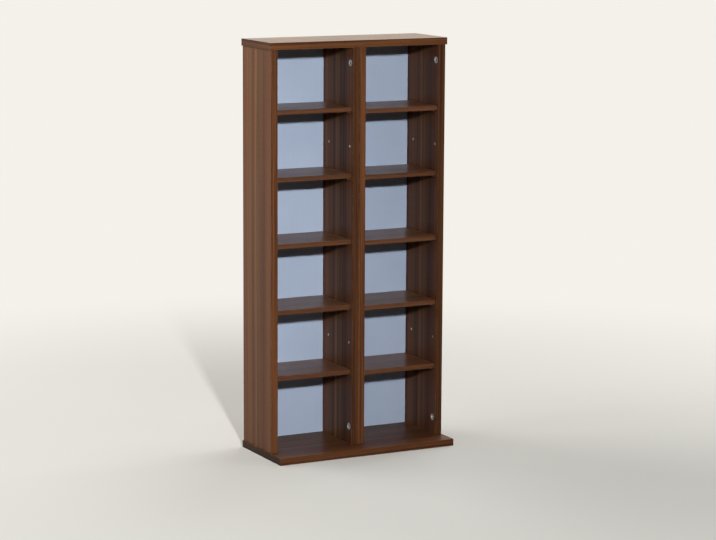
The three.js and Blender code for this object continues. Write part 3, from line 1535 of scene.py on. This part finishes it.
@dataclass
class Shelf:
    """A shelf with a band on its front edge, loose on pins or fixed by dowels."""

    column: str
    number: int
    along_start: float
    joinery: Joinery = JOINERY

    def build(self) -> None:
        """Builds the board and its band, and joins them to the frame."""
        name = f"{self.column}_shelf_{self.number}"
        low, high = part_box(name)
        fixed = self.number == FIXED_SHELF
        if fixed:
            low.x += self.joinery.shelf_dowel_stub
            high.x -= self.joinery.shelf_dowel_stub
        board = Board(
            name=name,
            low=low,
            high=high,
            grain=Grain.ACROSS,
            face=SHELF_WALNUT,
            band=SHELF_BAND,
            banded={Edge.FRONT: SHELF_TONES[self.column][self.number - 1]},
            along_start=self.along_start,
        )
        body = CARCASS if fixed else name
        cuts = [self.end_bores(low, high)] if fixed else []
        join_frame(board.make_board(cuts), body, [name])
        join_frame(board.make_bands(), body)

    def end_bores(self, low: Vector, high: Vector) -> list[Bore]:
        """The dowel bores in the ends of a fixed shelf.

        Args:
            low: The board's lowest corner.
            high: The board's highest corner.

        Returns:
            The bores.
        """
        radius = self.joinery.shelf_dowel_radius + self.joinery.dowel_clearance
        depth = self.joinery.shelf_dowel_reach + self.joinery.dowel_clearance
        rows = [middle_of(node).y for node in pin_nodes(self.column, 1, "left")]
        middle = (low.z + high.z) / 2
        return [
            Bore(Vector((x, y, middle)), into, depth, radius)
            for x, into in ((low.x, X_AXIS), (high.x, -X_AXIS))
            for y in rows
        ]


@dataclass
class Panel:
    """The top or the base board, banded on its front and both ends."""

    name: str
    node: str
    cam_end: str
    into: Vector
    along_start: float
    band_tones: Mapping[Edge, float]
    face: Finish = WALNUT
    face_tone: float = 1.0
    joinery: Joinery = JOINERY

    def build(self) -> None:
        """Builds the board and its bands, and joins them to the frame."""
        low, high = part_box(self.node)
        board = Board(
            name=self.name,
            low=low,
            high=high,
            grain=Grain.ACROSS,
            face=self.face,
            band=BAND,
            banded=self.band_tones,
            along_start=self.along_start,
            face_tones=(self.face_tone, self.face_tone),
        )
        mouth = low.z if self.into.z > 0 else high.z
        made = board.make_board([self.bores(mouth)])
        join_frame(made, CARCASS, [self.node])
        join_frame(board.make_bands(), CARCASS)

    def bores(self, mouth: float) -> list[Bore]:
        """The blind bores for the bolts and dowels of the four uprights.

        Args:
            mouth: Height of the face on which they open.

        Returns:
            The bores.
        """
        sizes = self.joinery
        bores = []
        for plan in UPRIGHTS:
            middle = middle_of(plan.name).x
            bolt = cam_centre(f"{plan.name}_{self.cam_end}_cam").y
            rear = middle_of(pin_nodes(plan.column, 1, plan.edge)[1]).y
            clearance = sizes.dowel_clearance
            for y, reach, radius in (
                (bolt, sizes.screw_length, sizes.screw_radius + clearance),
                (rear, sizes.end_dowel_reach, sizes.end_dowel_radius + clearance),
            ):
                bores.append(Bore(Vector((middle, y, mouth)), self.into, reach, radius))
        return bores


PANELS = (
    Panel(
        name="top",
        node="top_panel",
        cam_end="top",
        into=Z_AXIS,
        along_start=5.6,
        band_tones={Edge.FRONT: 1.07, Edge.LEFT: 0.97, Edge.RIGHT: 0.97},
        face=TOP_WALNUT_PAINTED_SHEEN,
        # Painted sheen: the top's print is brightened further by its tone.
        face_tone=1.25,
    ),
    Panel(
        name="base",
        node="base_panel",
        cam_end="base",
        into=-Z_AXIS,
        along_start=7.3,
        # The base's print is toned darker, so the rack is darker towards the bottom. Its end bands, the
        # left end most, are toned darker as painted shade at the floor.
        band_tones={Edge.FRONT: 0.84, Edge.LEFT: 0.3, Edge.RIGHT: 0.55},
        face_tone=0.7,
    ),
)


@dataclass
class BackSheet:
    """The thin back: painted inside, rough outside, with a dimple for each nail."""

    node: str = "back_panel"
    nail_inset: float = 0.006
    nails_per_side: int = 10
    nails_per_end: int = 4
    dimple_radius: float = 0.0019
    dimple_depth: float = 0.0003
    dimple_sides: int = 16
    ease: float = 0.0003

    def nail_places(self) -> list[Vector]:
        """Finds where the nails go: round the sheet, and down the right divider's edge.

        Returns:
            The places, on the sheet's outer face.
        """
        low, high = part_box(self.node)
        inset = self.nail_inset
        left, right = low.x + inset, high.x - inset
        foot, head = low.z + inset, high.z - inset
        steps = range(self.nails_per_side)
        rise = (head - foot) / (self.nails_per_side - 1)
        places = [(x, foot + rise * step) for step in steps for x in (left, right)]
        divider = middle_of("right_divider").x
        places += [(divider, foot + rise * (step + 0.5)) for step in steps[:-1]]
        stride = (right - left) / (self.nails_per_end + 1)
        for step in range(1, self.nails_per_end + 1):
            places += [(left + stride * step, z) for z in (foot, head)]
        return [Vector((x, high.y, z)) for x, z in places]

    def build(self) -> None:
        """Builds the sheet and joins it to the frame."""
        low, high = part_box(self.node)
        board = Board(
            name="backing",
            low=low,
            high=high,
            grain=Grain.UP,
            face=LACQUER,
            band=LACQUER,
            banded={},
            ease=self.ease,
        )
        places = self.nail_places()
        mesh = bmesh.new()
        add_block(mesh, low, high, self.ease)
        part_cells(mesh, places)
        sheet = object_of("backing_sheet", mesh)
        sheet.data.materials.append(LACQUER.material())
        sheet.data.materials.append(HARDBOARD.material())
        depth, radius, sides = self.dimple_depth, self.dimple_radius, self.dimple_sides
        board.cut(sheet, [[Bore(at, -Y_AXIS, depth, radius, sides=sides) for at in places]])
        for polygon in sheet.data.polygons:
            painted = polygon.normal.y < -FACING
            polygon.material_index = (Surface.FACE if painted else Surface.CORE).value
        board.map_grain(sheet.data)
        board.store_place(sheet.data, [1.0] * len(sheet.data.vertices))
        join_frame(sheet, CARCASS, [self.node])


# Fittings, made and placed by Geometry Nodes


class FittingTree(NodeTree):
    """A Geometry Nodes tree that sets one fitting on each point, aimed along its attribute."""

    SOCKETS = {float: "NodeSocketFloat", int: "NodeSocketInt", bpy.types.Material: "NodeSocketMaterial"}

    def __init__(self, name: str, sizes: Mapping[str, Union[float, int]], finish: Finish) -> None:
        """Starts a tree.

        Args:
            name: The tree's name.
            sizes: The named inputs, with their values.
            finish: The finish that the tree sets at its end.
        """
        super().__init__(bpy.data.node_groups.new(name, "GeometryNodeTree"))
        face = self.tree.interface
        face.new_socket("Geometry", in_out="INPUT", socket_type="NodeSocketGeometry")
        face.new_socket("Geometry", in_out="OUTPUT", socket_type="NodeSocketGeometry")
        self.values = {**sizes, "Finish": finish.material()}
        self.identifiers = {}
        for label, value in self.values.items():
            kind = bpy.types.Material if label == "Finish" else type(value)
            made = face.new_socket(label, in_out="INPUT", socket_type=self.SOCKETS[kind])
            self.identifiers[label] = made.identifier
        self.entry = self.tree.nodes.new("NodeGroupInput")
        self.exit = self.tree.nodes.new("NodeGroupOutput")

    def given(self, label: str) -> Term:
        """A named input of the tree."""
        return Term(self, self.entry.outputs[label])

    def cylinder(self, radius: Feed, length: Feed, sides: Feed) -> tuple[Term, Term, Term]:
        """A cylinder round Z with its foot at zero.

        Args:
            radius: Its radius.
            length: Its length.
            sides: Faces round it.

        Returns:
            Its mesh, and which faces are its top and its bottom.
        """
        inputs = {"Vertices": sides, "Radius": radius, "Depth": length}
        made = self.node("GeometryNodeMeshCylinder", "Mesh", {"fill_type": "NGON"}, inputs)
        return self.moved(made, self.vector(z=length * 0.5)), made.of("Top"), made.of("Bottom")

    def stepped(self, mesh: Term, face: Term, rise: Feed, share: Feed) -> tuple[Term, Term]:
        """Draws a face out, or in where the rise is below zero, and scales it.

        Args:
            mesh: The mesh.
            face: Which face.
            rise: How far it is drawn out.
            share: Its new size, as a share of its size before.

        Returns:
            The mesh, and which face it now is.
        """
        inputs = {"Mesh": mesh, "Selection": face, "Offset Scale": rise, "Individual": False}
        drawn = self.node("GeometryNodeExtrudeMesh", "Mesh", {"mode": "FACES"}, inputs)
        top = drawn.of("Top")
        inputs = {"Geometry": drawn, "Selection": top, "Scale": share}
        return self.node("GeometryNodeScaleElements", 0, {"domain": "FACE"}, inputs), top

    def moved(self, mesh: Term, offset: Feed) -> Term:
        """A mesh moved by an offset."""
        inputs = {"Geometry": mesh, "Translation": offset}
        return self.node("GeometryNodeTransform", 0, None, inputs)

    def block(self, x: Feed, y: Feed, z: Feed) -> Term:
        """A block round the origin."""
        return self.node("GeometryNodeMeshCube", "Mesh", None, {"Size": self.vector(x, y, z)})

    def joined(self, *meshes: Term) -> Term:
        """Joins meshes.

        Args:
            meshes: The meshes.

        Returns:
            All of them as one.
        """
        joint = self.tree.nodes.new("GeometryNodeJoinGeometry")
        for mesh in meshes:
            self.tree.links.new(mesh.socket, joint.inputs[0])
        return Term(self, joint.outputs[0])

    def stored(self, mesh: Term, faces: Feed, name: str, value: float) -> Term:
        """Stores a number on some faces of a mesh.

        Args:
            mesh: The mesh.
            faces: Which faces.
            name: The attribute's name.
            value: The number.

        Returns:
            The mesh.
        """
        settings = {"data_type": "FLOAT", "domain": "FACE"}
        inputs = {"Geometry": mesh, "Selection": faces, "Name": name, "Value": value}
        return self.node("GeometryNodeStoreNamedAttribute", 0, settings, inputs)

    def named(self, attribute: str, kind: str) -> Term:
        """An attribute of the points."""
        settings = {"data_type": kind}
        return self.node("GeometryNodeInputNamedAttribute", "Attribute", settings, {"Name": attribute})

    def placed(self, fitting: Term, points: Term, seed: int, scale: Feed = (1.0, 1.0, 1.0)) -> Term:
        """Sets the fitting on every point, its Z along the point's aim, turned at random.

        Args:
            fitting: The fitting's mesh.
            points: The points.
            seed: The seed of the turns.
            scale: The fitting's scale.

        Returns:
            The instances.
        """
        aimed = self.node(
            "FunctionNodeAlignRotationToVector",
            "Rotation",
            {"axis": "Z"},
            {"Vector": self.named(AIM, "FLOAT_VECTOR")},
        )
        angle = self.node(
            "FunctionNodeRandomValue",
            "Value",
            {"data_type": "FLOAT"},
            {"Min": 0.0, "Max": self.given("Turn"), "Seed": seed},
        )
        turn = self.node(
            "FunctionNodeEulerToRotation", "Rotation", None, {"Euler": self.vector(z=angle)}
        )
        rotation = self.node(
            "FunctionNodeRotateRotation",
            "Rotation",
            {"rotation_space": "LOCAL"},
            {"Rotation": aimed, "Rotate By": turn},
        )
        inputs = {"Points": points, "Instance": fitting, "Rotation": rotation, "Scale": scale}
        return self.node("GeometryNodeInstanceOnPoints", "Instances", None, inputs)

    def end(self, instances: Term, smooth: float = 0.6) -> None:
        """Realizes the instances and sets their material.

        Args:
            instances: What the tree has made.
            smooth: Edges bent less than this angle are shaded smooth.
        """
        real = self.node("GeometryNodeRealizeInstances", 0, None, {"Geometry": instances})
        angle = self.node("GeometryNodeInputMeshEdgeAngle", "Unsigned Angle")
        soft = self.node(
            "FunctionNodeCompare",
            "Result",
            {"data_type": "FLOAT", "operation": "LESS_THAN"},
            {"A": angle, "B": smooth},
        )
        inputs = {"Geometry": real, "Shade Smooth": soft}
        edged = self.node("GeometryNodeSetShadeSmooth", 0, {"domain": "EDGE"}, inputs)
        inputs = {"Geometry": edged, "Shade Smooth": True}
        shaded = self.node("GeometryNodeSetShadeSmooth", 0, {"domain": "FACE"}, inputs)
        inputs = {"Geometry": shaded, "Material": self.given("Finish")}
        self.feed(self.exit.inputs[0], self.node("GeometryNodeSetMaterial", 0, None, inputs))

    def make(
        self, name: str, places: Sequence[Vector], aims: Sequence[Vector], reaches: Sequence[float]
    ) -> bpy.types.Object:
        """Runs the tree on a set of points and returns the result as a plain mesh.

        Args:
            name: The object's name.
            places: The points.
            aims: The direction of each fitting's Z.
            reaches: A length for each point, which only some trees read.

        Returns:
            The object.
        """
        mesh = bmesh.new()
        for place in places:
            mesh.verts.new(place)
        host = object_of(name, mesh)
        set_attribute(host.data, AIM, "FLOAT_VECTOR", aims)
        set_attribute(host.data, REACH, "FLOAT", reaches)
        modifier = host.modifiers.new(self.tree.name, "NODES")
        modifier.node_group = self.tree
        for label, value in self.values.items():
            modifier[self.identifiers[label]] = value
        bake_modifiers(host)
        for extra in [a.name for a in host.data.attributes if a.name in (AIM, REACH)]:
            host.data.attributes.remove(host.data.attributes[extra])
        return host


@dataclass
class ShelfPins:
    """The steel pins that carry the loose shelves, with rounded ends and a turned groove.

    An end is rounded in steps, each a share of the size before.
    """

    radius: float = 0.0025
    length: float = 0.016
    ease: float = 0.0006
    groove: float = 0.00018
    foot_shares: Span = (0.85, 0.78)
    tip_shares: Span = (0.93, 0.8)
    sides: int = 24
    seed: int = 3

    def tree(self) -> FittingTree:
        """Makes the tree of a pin whose foot is in its hole.

        Returns:
            The tree.
        """
        sizes = {
            "Radius": self.radius,
            "Length": self.length,
            "Ease": self.ease,
            "Groove": self.groove,
            "Sides": self.sides,
            "Turn": FULL_TURN,
        }
        tree = FittingTree("shelf_pin", sizes, PIN_STEEL_PAINTED_SHADE)
        radius, ease, length = (tree.given(name) for name in ("Radius", "Ease", "Length"))
        groove = tree.given("Groove")
        flat = groove * 2.0
        shank = length * 0.5 - ease
        mesh, top, foot = tree.cylinder(radius, shank, tree.given("Sides"))
        for share in self.foot_shares:
            mesh, foot = tree.stepped(mesh, foot, ease * 0.5, share)
        neck = 1.0 - groove / radius
        mesh, top = tree.stepped(mesh, top, groove, neck)
        mesh, top = tree.stepped(mesh, top, flat, 1.0)
        mesh, top = tree.stepped(mesh, top, groove, 1.0 / neck)
        mesh, top = tree.stepped(mesh, top, shank - flat * 2.0, 1.0)
        for share in self.tip_shares:
            mesh, top = tree.stepped(mesh, top, ease * 0.5, share)
        seated = tree.moved(mesh, tree.vector(z=ease))
        tree.end(tree.placed(seated, tree.given("Geometry"), self.seed))
        return tree

    def build(self) -> None:
        """Builds all pins as one piece."""
        nodes, places, aims = [], [], []
        for plan in UPRIGHTS:
            for shelf in LOOSE_SHELVES:
                for node in pin_nodes(plan.column, shelf, plan.edge):
                    low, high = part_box(node)
                    centre = (low + high) / 2
                    centre.x = low.x if plan.facing > 0 else high.x
                    nodes.append(node)
                    places.append(centre)
                    aims.append(X_AXIS * plan.facing)
        made = self.tree().make("shelf_pins", places, aims, [0.0] * len(places))
        join_frame(made, CARCASS, nodes)


@dataclass
class CamFittings:
    """The cast drums in the uprights' pockets, and the bolts that they hold.

    A drum's face is dished inside its rim, with a deeper well round the cross. The well and the
    cross's walls are darkened, as painted shade in the hollow. A foot is the size at a slope's lower
    end, as a share of the size at its upper end. The thread's sizes are shares of the screw's length
    and radius. The cross's bars differ in height, as shares of its depth, so that their ends don't
    coincide.
    """

    joinery: Joinery = JOINERY
    rim: float = 0.0012
    dish: float = 0.0004
    dish_foot: float = 0.96
    well_share: float = 0.62
    well_foot: float = 0.93
    well_shade: float = 0.88
    cross_length: float = 0.0058
    cross_width: float = 0.0018
    cross_depth: float = 0.0045
    bar_heights: Span = (2.0, 2.1)
    drum_sides: int = 40
    drum_turn: float = 0.9
    drum_seed: int = 11
    bolt_sides: int = 20
    shank_seed: int = 5
    screw_seed: int = 7
    core_share: float = 0.8
    core_reach: float = 0.9
    tip_reach: float = 0.08
    tip_share: float = 0.45
    thread_pitch: float = 0.0014
    thread_start: float = 0.05
    thread_reach: float = 0.78
    thread_middle: float = 0.84
    thread_height: float = 0.16
    thread_steps: int = 14
    thread_sides: int = 3

    def drum_tree(self) -> FittingTree:
        """Makes the tree of a drum whose open face is at Z zero and looks along Z.

        Returns:
            The tree.
        """
        sizes = {
            "Radius": self.joinery.cam_radius - self.joinery.cam_gap,
            "Length": self.joinery.cam_length,
            "Rim": self.rim,
            "Dish": self.dish,
            "Well share": self.well_share,
            "Cross length": self.cross_length,
            "Cross width": self.cross_width,
            "Cross depth": self.cross_depth,
            "Sides": self.drum_sides,
            "Turn": self.drum_turn,
        }
        tree = FittingTree("cam_drum", sizes, ZINC)
        radius, dish, depth = (tree.given(name) for name in ("Radius", "Dish", "Cross depth"))
        length, sides = tree.given("Length"), tree.given("Sides")
        ease = dish * 0.5
        mesh, top, foot = tree.cylinder(radius, length - ease * 2.0, sides)
        mesh, foot = tree.stepped(mesh, foot, ease, 1.0 - ease / radius)
        mesh, top = tree.stepped(mesh, top, ease, 1.0 - ease / radius)
        inner = 1.0 - tree.given("Rim") / radius
        mesh, top = tree.stepped(mesh, top, 0.0, inner)
        mesh, top = tree.stepped(mesh, top, -dish, self.dish_foot)
        mesh, top = tree.stepped(mesh, top, 0.0, tree.given("Well share"))
        mesh, top = tree.stepped(mesh, top, -dish, self.well_foot)
        # Painted shade: the well's faces are marked to be darkened.
        mesh = tree.stored(mesh, top, RECESS_SHADE, self.well_shade)
        drum = tree.moved(mesh, tree.vector(z=ease - length))
        long, wide = tree.given("Cross length"), tree.given("Cross width")
        # Painted shade: the cross's walls are marked to be darkened fully.
        first, second = self.bar_heights
        bars = [
            tree.stored(tree.block(x, y, depth * height), True, RECESS_SHADE, 1.0)
            for x, y, height in ((long, wide, first), (wide, long, second))
        ]
        settings = {"operation": "DIFFERENCE", "solver": "EXACT"}
        cut = tree.node("GeometryNodeMeshBoolean", "Mesh", settings, {"Mesh 1": drum})
        for bar in bars:
            tree.tree.links.new(bar.socket, cut.socket.node.inputs["Mesh 2"])
        tree.end(tree.placed(cut, tree.given("Geometry"), self.drum_seed))
        return tree

    def bolt_tree(self) -> FittingTree:
        """Makes the tree of a bolt: a plain shank as long as its point's reach, then a thread.

        Returns:
            The tree.
        """
        sizes = {
            "Shank radius": self.joinery.bolt_radius,
            "Screw radius": self.joinery.screw_radius,
            "Screw length": self.joinery.screw_length,
            "Pitch": self.thread_pitch,
            "Sides": self.bolt_sides,
            "Turn": FULL_TURN,
        }
        tree = FittingTree("cam_bolt", sizes, NICKEL)
        points, sides = tree.given("Geometry"), tree.given("Sides")
        reach = tree.named(REACH, "FLOAT")
        shank, _, _ = tree.cylinder(tree.given("Shank radius"), 1.0, sides)
        shanks = tree.placed(shank, points, self.shank_seed, tree.vector(1.0, 1.0, reach))

        outer, length = tree.given("Screw radius"), tree.given("Screw length")
        core, tip, _ = tree.cylinder(outer * self.core_share, length * self.core_reach, sides)
        core, tip = tree.stepped(core, tip, length * self.tip_reach, self.tip_share)
        ridge = self.ridge(tree, outer, length)
        offset = tree.scaled(tree.named(AIM, "FLOAT_VECTOR"), reach)
        inputs = {"Geometry": points, "Offset": offset}
        ends = tree.node("GeometryNodeSetPosition", 0, None, inputs)
        screws = tree.placed(tree.joined(core, ridge), ends, self.screw_seed)
        tree.end(tree.joined(shanks, screws))
        return tree

    def ridge(self, tree: FittingTree, outer: Term, length: Term) -> Term:
        """Winds the thread's ridge, a small three-sided bar, round the screw's core.

        Args:
            tree: The bolt's tree.
            outer: The screw's radius.
            length: The screw's length.

        Returns:
            The ridge's mesh.
        """
        rise = length * self.thread_reach
        inputs = {
            "Resolution": self.thread_steps,
            "Rotations": rise / tree.given("Pitch"),
            "Start Radius": outer * self.thread_middle,
            "End Radius": outer * self.thread_middle,
            "Height": rise,
        }
        spiral = tree.node("GeometryNodeCurveSpiral", "Curve", None, inputs)
        inputs = {"Resolution": self.thread_sides, "Radius": outer * self.thread_height}
        settings = {"mode": "RADIUS"}
        section = tree.node("GeometryNodeCurvePrimitiveCircle", "Curve", settings, inputs)
        inputs = {"Curve": spiral, "Profile Curve": section, "Fill Caps": True}
        wound = tree.node("GeometryNodeCurveToMesh", "Mesh", None, inputs)
        return tree.moved(wound, tree.vector(z=length * self.thread_start))

    def build(self) -> None:
        """Builds the drums and the bolts, and joins them to the frame."""
        nodes, faces, into_bay, centres, to_panel, reaches = [], [], [], [], [], []
        for plan in UPRIGHTS:
            upright = Upright(plan)
            middle = (upright.low.x + upright.high.x) / 2
            for end, z, sense in (("top", upright.high.z, 1), ("base", upright.low.z, -1)):
                node = f"{plan.name}_{end}_cam"
                centre = cam_centre(node)
                nodes.append(node)
                faces.append(upright.on_face(centre.y, centre.z))
                into_bay.append(X_AXIS * plan.facing)
                centres.append(Vector((middle, centre.y, centre.z)))
                to_panel.append(Z_AXIS * sense)
                reaches.append(abs(z - centre.z))
        drums = self.drum_tree().make("cam_drums", faces, into_bay, reaches)
        join_frame(drums, CARCASS, nodes)
        bolts = self.bolt_tree().make("cam_bolts", centres, to_panel, reaches)
        join_frame(bolts, CARCASS)


@dataclass
class Dowels:
    """Fluted beech dowels in the uprights' ends and in the ends of the fixed shelves."""

    flutes: int = 12
    flute_share: float = 0.93
    turn: float = 0.4
    seed: int = 17
    smooth: float = 0.3
    joinery: Joinery = JOINERY

    def tree(self, name: str, radius: float, length: float) -> FittingTree:
        """Makes the tree of a dowel whose middle is on its point.

        Args:
            name: The tree's name.
            radius: The dowels' radius.
            length: Their length.

        Returns:
            The tree.
        """
        sizes = {
            "Radius": radius,
            "Length": length,
            "Flute share": self.flute_share,
            "Flutes": self.flutes,
            "Turn": self.turn,
        }
        tree = FittingTree(name, sizes, BEECH)
        outer, run = tree.given("Radius"), tree.given("Length")
        inputs = {
            "Points": tree.given("Flutes"),
            "Outer Radius": outer,
            "Inner Radius": outer * tree.given("Flute share"),
        }
        section = tree.node("GeometryNodeCurveStar", "Curve", None, inputs)
        ends = {"Start": tree.vector(z=run * -0.5), "End": tree.vector(z=run * 0.5)}
        line = tree.node("GeometryNodeCurvePrimitiveLine", "Curve", {"mode": "POINTS"}, ends)
        inputs = {"Curve": line, "Profile Curve": section, "Fill Caps": True}
        rod = tree.node("GeometryNodeCurveToMesh", "Mesh", None, inputs)
        tree.end(tree.placed(rod, tree.given("Geometry"), self.seed), self.smooth)
        return tree

    def build(self) -> None:
        """Builds both sets of dowels and joins them to the frame."""
        sizes = self.joinery
        ends, walls = [], []
        for plan in UPRIGHTS:
            upright = Upright(plan)
            middle = (upright.low.x + upright.high.x) / 2
            front, rear = (middle_of(node).y for node in pin_nodes(plan.column, 1, plan.edge))
            ends += [Vector((middle, rear, z)) for z in (upright.low.z, upright.high.z)]
            height = middle_of(f"{plan.column}_shelf_{FIXED_SHELF}").z
            walls += [upright.on_face(y, height) for y in (front, rear)]
        tree = self.tree("end_dowel", sizes.end_dowel_radius, 2 * sizes.end_dowel_reach)
        made = tree.make("end_dowels", ends, [Z_AXIS] * len(ends), [0.0] * len(ends))
        join_frame(made, CARCASS)
        tree = self.tree("shelf_dowel", sizes.shelf_dowel_radius, 2 * sizes.shelf_dowel_reach)
        made = tree.make("shelf_dowels", walls, [X_AXIS] * len(walls), [0.0] * len(walls))
        join_frame(made, CARCASS)


@dataclass
class BackNails:
    """The small wire nails that hold the back, their heads sunk a little in dimples.

    A head is rounded in steps. A step is how far it rises, in head heights, and its size at the
    end, as a share of the size before. The point is such a step too.
    """

    head_radius: float = 0.0014
    head_height: float = 0.0003
    rim_share: float = 0.4
    head_steps: tuple[Span, ...] = ((0.35, 0.86), (0.25, 0.5))
    shank_radius: float = 0.0006
    length: float = 0.012
    point: Span = (3.0, 0.2)
    sunk: float = 0.00006
    sides: int = 16
    seed: int = 23

    def tree(self) -> FittingTree:
        """Makes the tree of a nail whose head looks along Z, with its top at Z zero.

        Returns:
            The tree.
        """
        sizes = {
            "Head radius": self.head_radius,
            "Head height": self.head_height,
            "Shank radius": self.shank_radius,
            "Length": self.length,
            "Sides": self.sides,
            "Turn": FULL_TURN,
        }
        tree = FittingTree("back_nail", sizes, WIRE)
        radius, height = tree.given("Head radius"), tree.given("Head height")
        shank_share = tree.given("Shank radius") / radius
        mesh, top, foot = tree.cylinder(radius, height * self.rim_share, tree.given("Sides"))
        for rise, share in self.head_steps:
            mesh, top = tree.stepped(mesh, top, height * rise, share)
        mesh, foot = tree.stepped(mesh, foot, height, shank_share)
        mesh, foot = tree.stepped(mesh, foot, tree.given("Length"), 1.0)
        rise, share = self.point
        mesh, foot = tree.stepped(mesh, foot, height * rise, share)
        seated = tree.moved(mesh, tree.vector(z=-height))
        tree.end(tree.placed(seated, tree.given("Geometry"), self.seed))
        return tree

    def build(self, sheet: BackSheet) -> None:
        """Builds the nails of a back sheet and joins them to the frame.

        Args:
            sheet: The back sheet.
        """
        places = [place - Y_AXIS * self.sunk for place in sheet.nail_places()]
        made = self.tree().make("back_nails", places, [Y_AXIS] * len(places), [0.0] * len(places))
        join_frame(made, CARCASS)


# The studio


@dataclass(frozen=True)
class Lamp:
    """A square lamp that looks at the rack's middle."""

    name: str
    place: Triple
    size: float
    watts: float
    glints: bool = False
    target: Triple = (0.0, 0.0, 0.46)
    spread: float = 180.0

    def hang(self) -> None:
        """Hangs the lamp in the scene."""
        data = bpy.data.lights.new(self.name, "AREA")
        data.shape = "SQUARE"
        data.size = self.size
        data.energy = self.watts
        data.spread = math.radians(self.spread)
        lamp = bpy.data.objects.new(self.name, data)
        aim = Vector(self.target) - Vector(self.place)
        lamp.rotation_euler = aim.to_track_quat("-Z", "Y").to_euler()
        lamp.location = self.place
        lamp.visible_glossy = self.glints
        lamp.visible_camera = False
        bpy.context.scene.collection.objects.link(lamp)


LAMPS = (
    Lamp("key_lamp", (-1.64, -4.55, 1.87), 0.16, 19.4, True, (-0.7, 0.0, 0.62), 44.0),
    Lamp("left_lamp", (-1.3, 0.1, 1.45), 0.8, 6.6),
    Lamp("right_lamp", (1.5, 0.2, 1.45), 0.9, 12.0),
    Lamp("front_right_lamp", (2.5, -1.45, 0.5), 0.8, 22.0),
    Lamp("back_left_lamp", (-2.2, 2.6, 2.3), 2.4, 60.0),
    Lamp("back_right_lamp", (2.6, 2.2, 2.1), 2.4, 50.0),
)


@dataclass
class Studio:
    """Camera, lamps, world and floor. None of it is part of the rack."""

    camera_place: Vector = field(default_factory=lambda: Vector((-2.3714, -4.6399, 1.2628)))
    yaw: float = -27.294
    pitch: float = -9.5022
    roll: float = 0.2904
    lens: float = 122.84
    sensor: float = 36.0
    ambient: float = 0.024
    front_gloss: float = 0.16
    gloss_step: Span = (-0.5, 0.4)
    backdrop: Colour = (0.9, 0.882, 0.825)
    floor_bounce: Colour = (0.13, 0.122, 0.11)
    floor_tone: float = 0.82
    floor_mottle: float = 0.03
    floor_roughness: float = 0.8
    mottles_per_metre: float = 3.0
    floor_radius: float = 14.0
    floor_sides: int = 96
    fade: Span = (0.5, 2.0)

    def build(self) -> None:
        """Builds the studio and points the scene at its camera."""
        self.add_camera()
        for lamp in LAMPS:
            lamp.hang()
        self.light_world()
        self.add_floor()
        bpy.context.scene.view_settings.view_transform = "Standard"

    def add_camera(self) -> None:
        """Adds the camera at the place and angle that the photograph was taken from."""
        yaw, pitch, roll = (math.radians(a) for a in (self.yaw, self.pitch, self.roll))
        right = Vector((math.cos(yaw), math.sin(yaw), 0.0))
        ahead = Vector(
            (-math.sin(yaw) * math.cos(pitch), math.cos(yaw) * math.cos(pitch), math.sin(pitch))
        )
        up = right.cross(ahead)
        rolled_right = right * math.cos(roll) + up * math.sin(roll)
        rolled_up = up * math.cos(roll) - right * math.sin(roll)
        turned = Matrix((rolled_right, rolled_up, -ahead)).transposed().to_4x4()
        data = bpy.data.cameras.new("camera")
        data.lens, data.sensor_width = self.lens, self.sensor
        camera = bpy.data.objects.new("camera", data)
        camera.matrix_world = Matrix.Translation(self.camera_place) @ turned
        bpy.context.scene.collection.objects.link(camera)
        bpy.context.scene.camera = camera

    def light_world(self) -> None:
        """Lights the rack faintly from all round, and shows the camera a pale backdrop.

        Glossy surfaces see the same pale backdrop behind the rack, and a dimmer room in front.
        """
        world = bpy.data.worlds.new("studio_world")
        world.use_nodes = True
        bpy.context.scene.world = world
        tree = ShaderTree(world.node_tree, "ShaderNodeOutputWorld")
        camera = tree.node("ShaderNodeLightPath", "Is Camera Ray")
        glossy = camera.of("Is Glossy Ray").most(camera.of("Is Transmission Ray"))
        _, behind, _ = tree.parts(tree.node("ShaderNodeTexCoord", "Generated"))
        room = behind.eased(*self.gloss_step) * (1.0 - self.front_gloss) + self.front_gloss
        strength = camera.most(glossy * room).most(self.ambient)
        inputs = {"Color": self.backdrop, "Strength": strength}
        tree.end(tree.node("ShaderNodeBackground", "Background", None, inputs))

    def add_floor(self) -> None:
        """Adds a pale floor that fades into the backdrop and keeps the rack's shadow."""
        mesh = bmesh.new()
        segments, radius = self.floor_sides, self.floor_radius
        bmesh.ops.create_circle(mesh, cap_ends=True, segments=segments, radius=radius)
        floor = object_of("studio_floor", mesh)
        material, tree = ShaderTree.of_material("studio_floor")
        place = tree.place()
        x, y, _ = tree.parts(place)
        away = tree.math("SQRT", x * x + y * y)
        path = tree.node("ShaderNodeLightPath", "Is Camera Ray")
        seen = path.most(path.of("Is Glossy Ray"))
        mottle = tree.noise(place, self.mottles_per_metre, 4.0)
        pale = tree.scaled(self.backdrop, self.floor_tone + mottle * self.floor_mottle)
        colour = tree.mixed(seen, self.floor_bounce, pale)
        rough = self.floor_roughness + mottle * 0.1
        near = tree.principled(Base_Color=colour, Roughness=rough)
        inputs = {"Color": self.backdrop, "Strength": 1.0}
        far = tree.node("ShaderNodeEmission", "Emission", None, inputs)
        share = away.eased(*self.fade) * seen
        tree.end(tree.node("ShaderNodeMixShader", "Shader", None, {0: share, 1: near, 2: far}))
        floor.data.materials.append(material)


def main() -> None:
    """Builds the studio and every sub-assembly of the rack, in order."""
    logging.basicConfig(level=logging.INFO, format="%(message)s")
    Studio().build()
    for plan in UPRIGHTS:
        Upright(plan).build()
    for panel in PANELS:
        panel.build()
    for place, column in enumerate(SHELF_TONES):
        for number in sorted((FIXED_SHELF, *LOOSE_SHELVES)):
            start = SHEET_START + SHEET_PER_COLUMN * place + SHEET_PER_SHELF * number
            Shelf(column, number, start).build()
    sheet = BackSheet()
    sheet.build()
    CamFittings().build()
    ShelfPins().build()
    Dowels().build()
    BackNails().build(sheet)


if __name__ == "__main__":
    main()
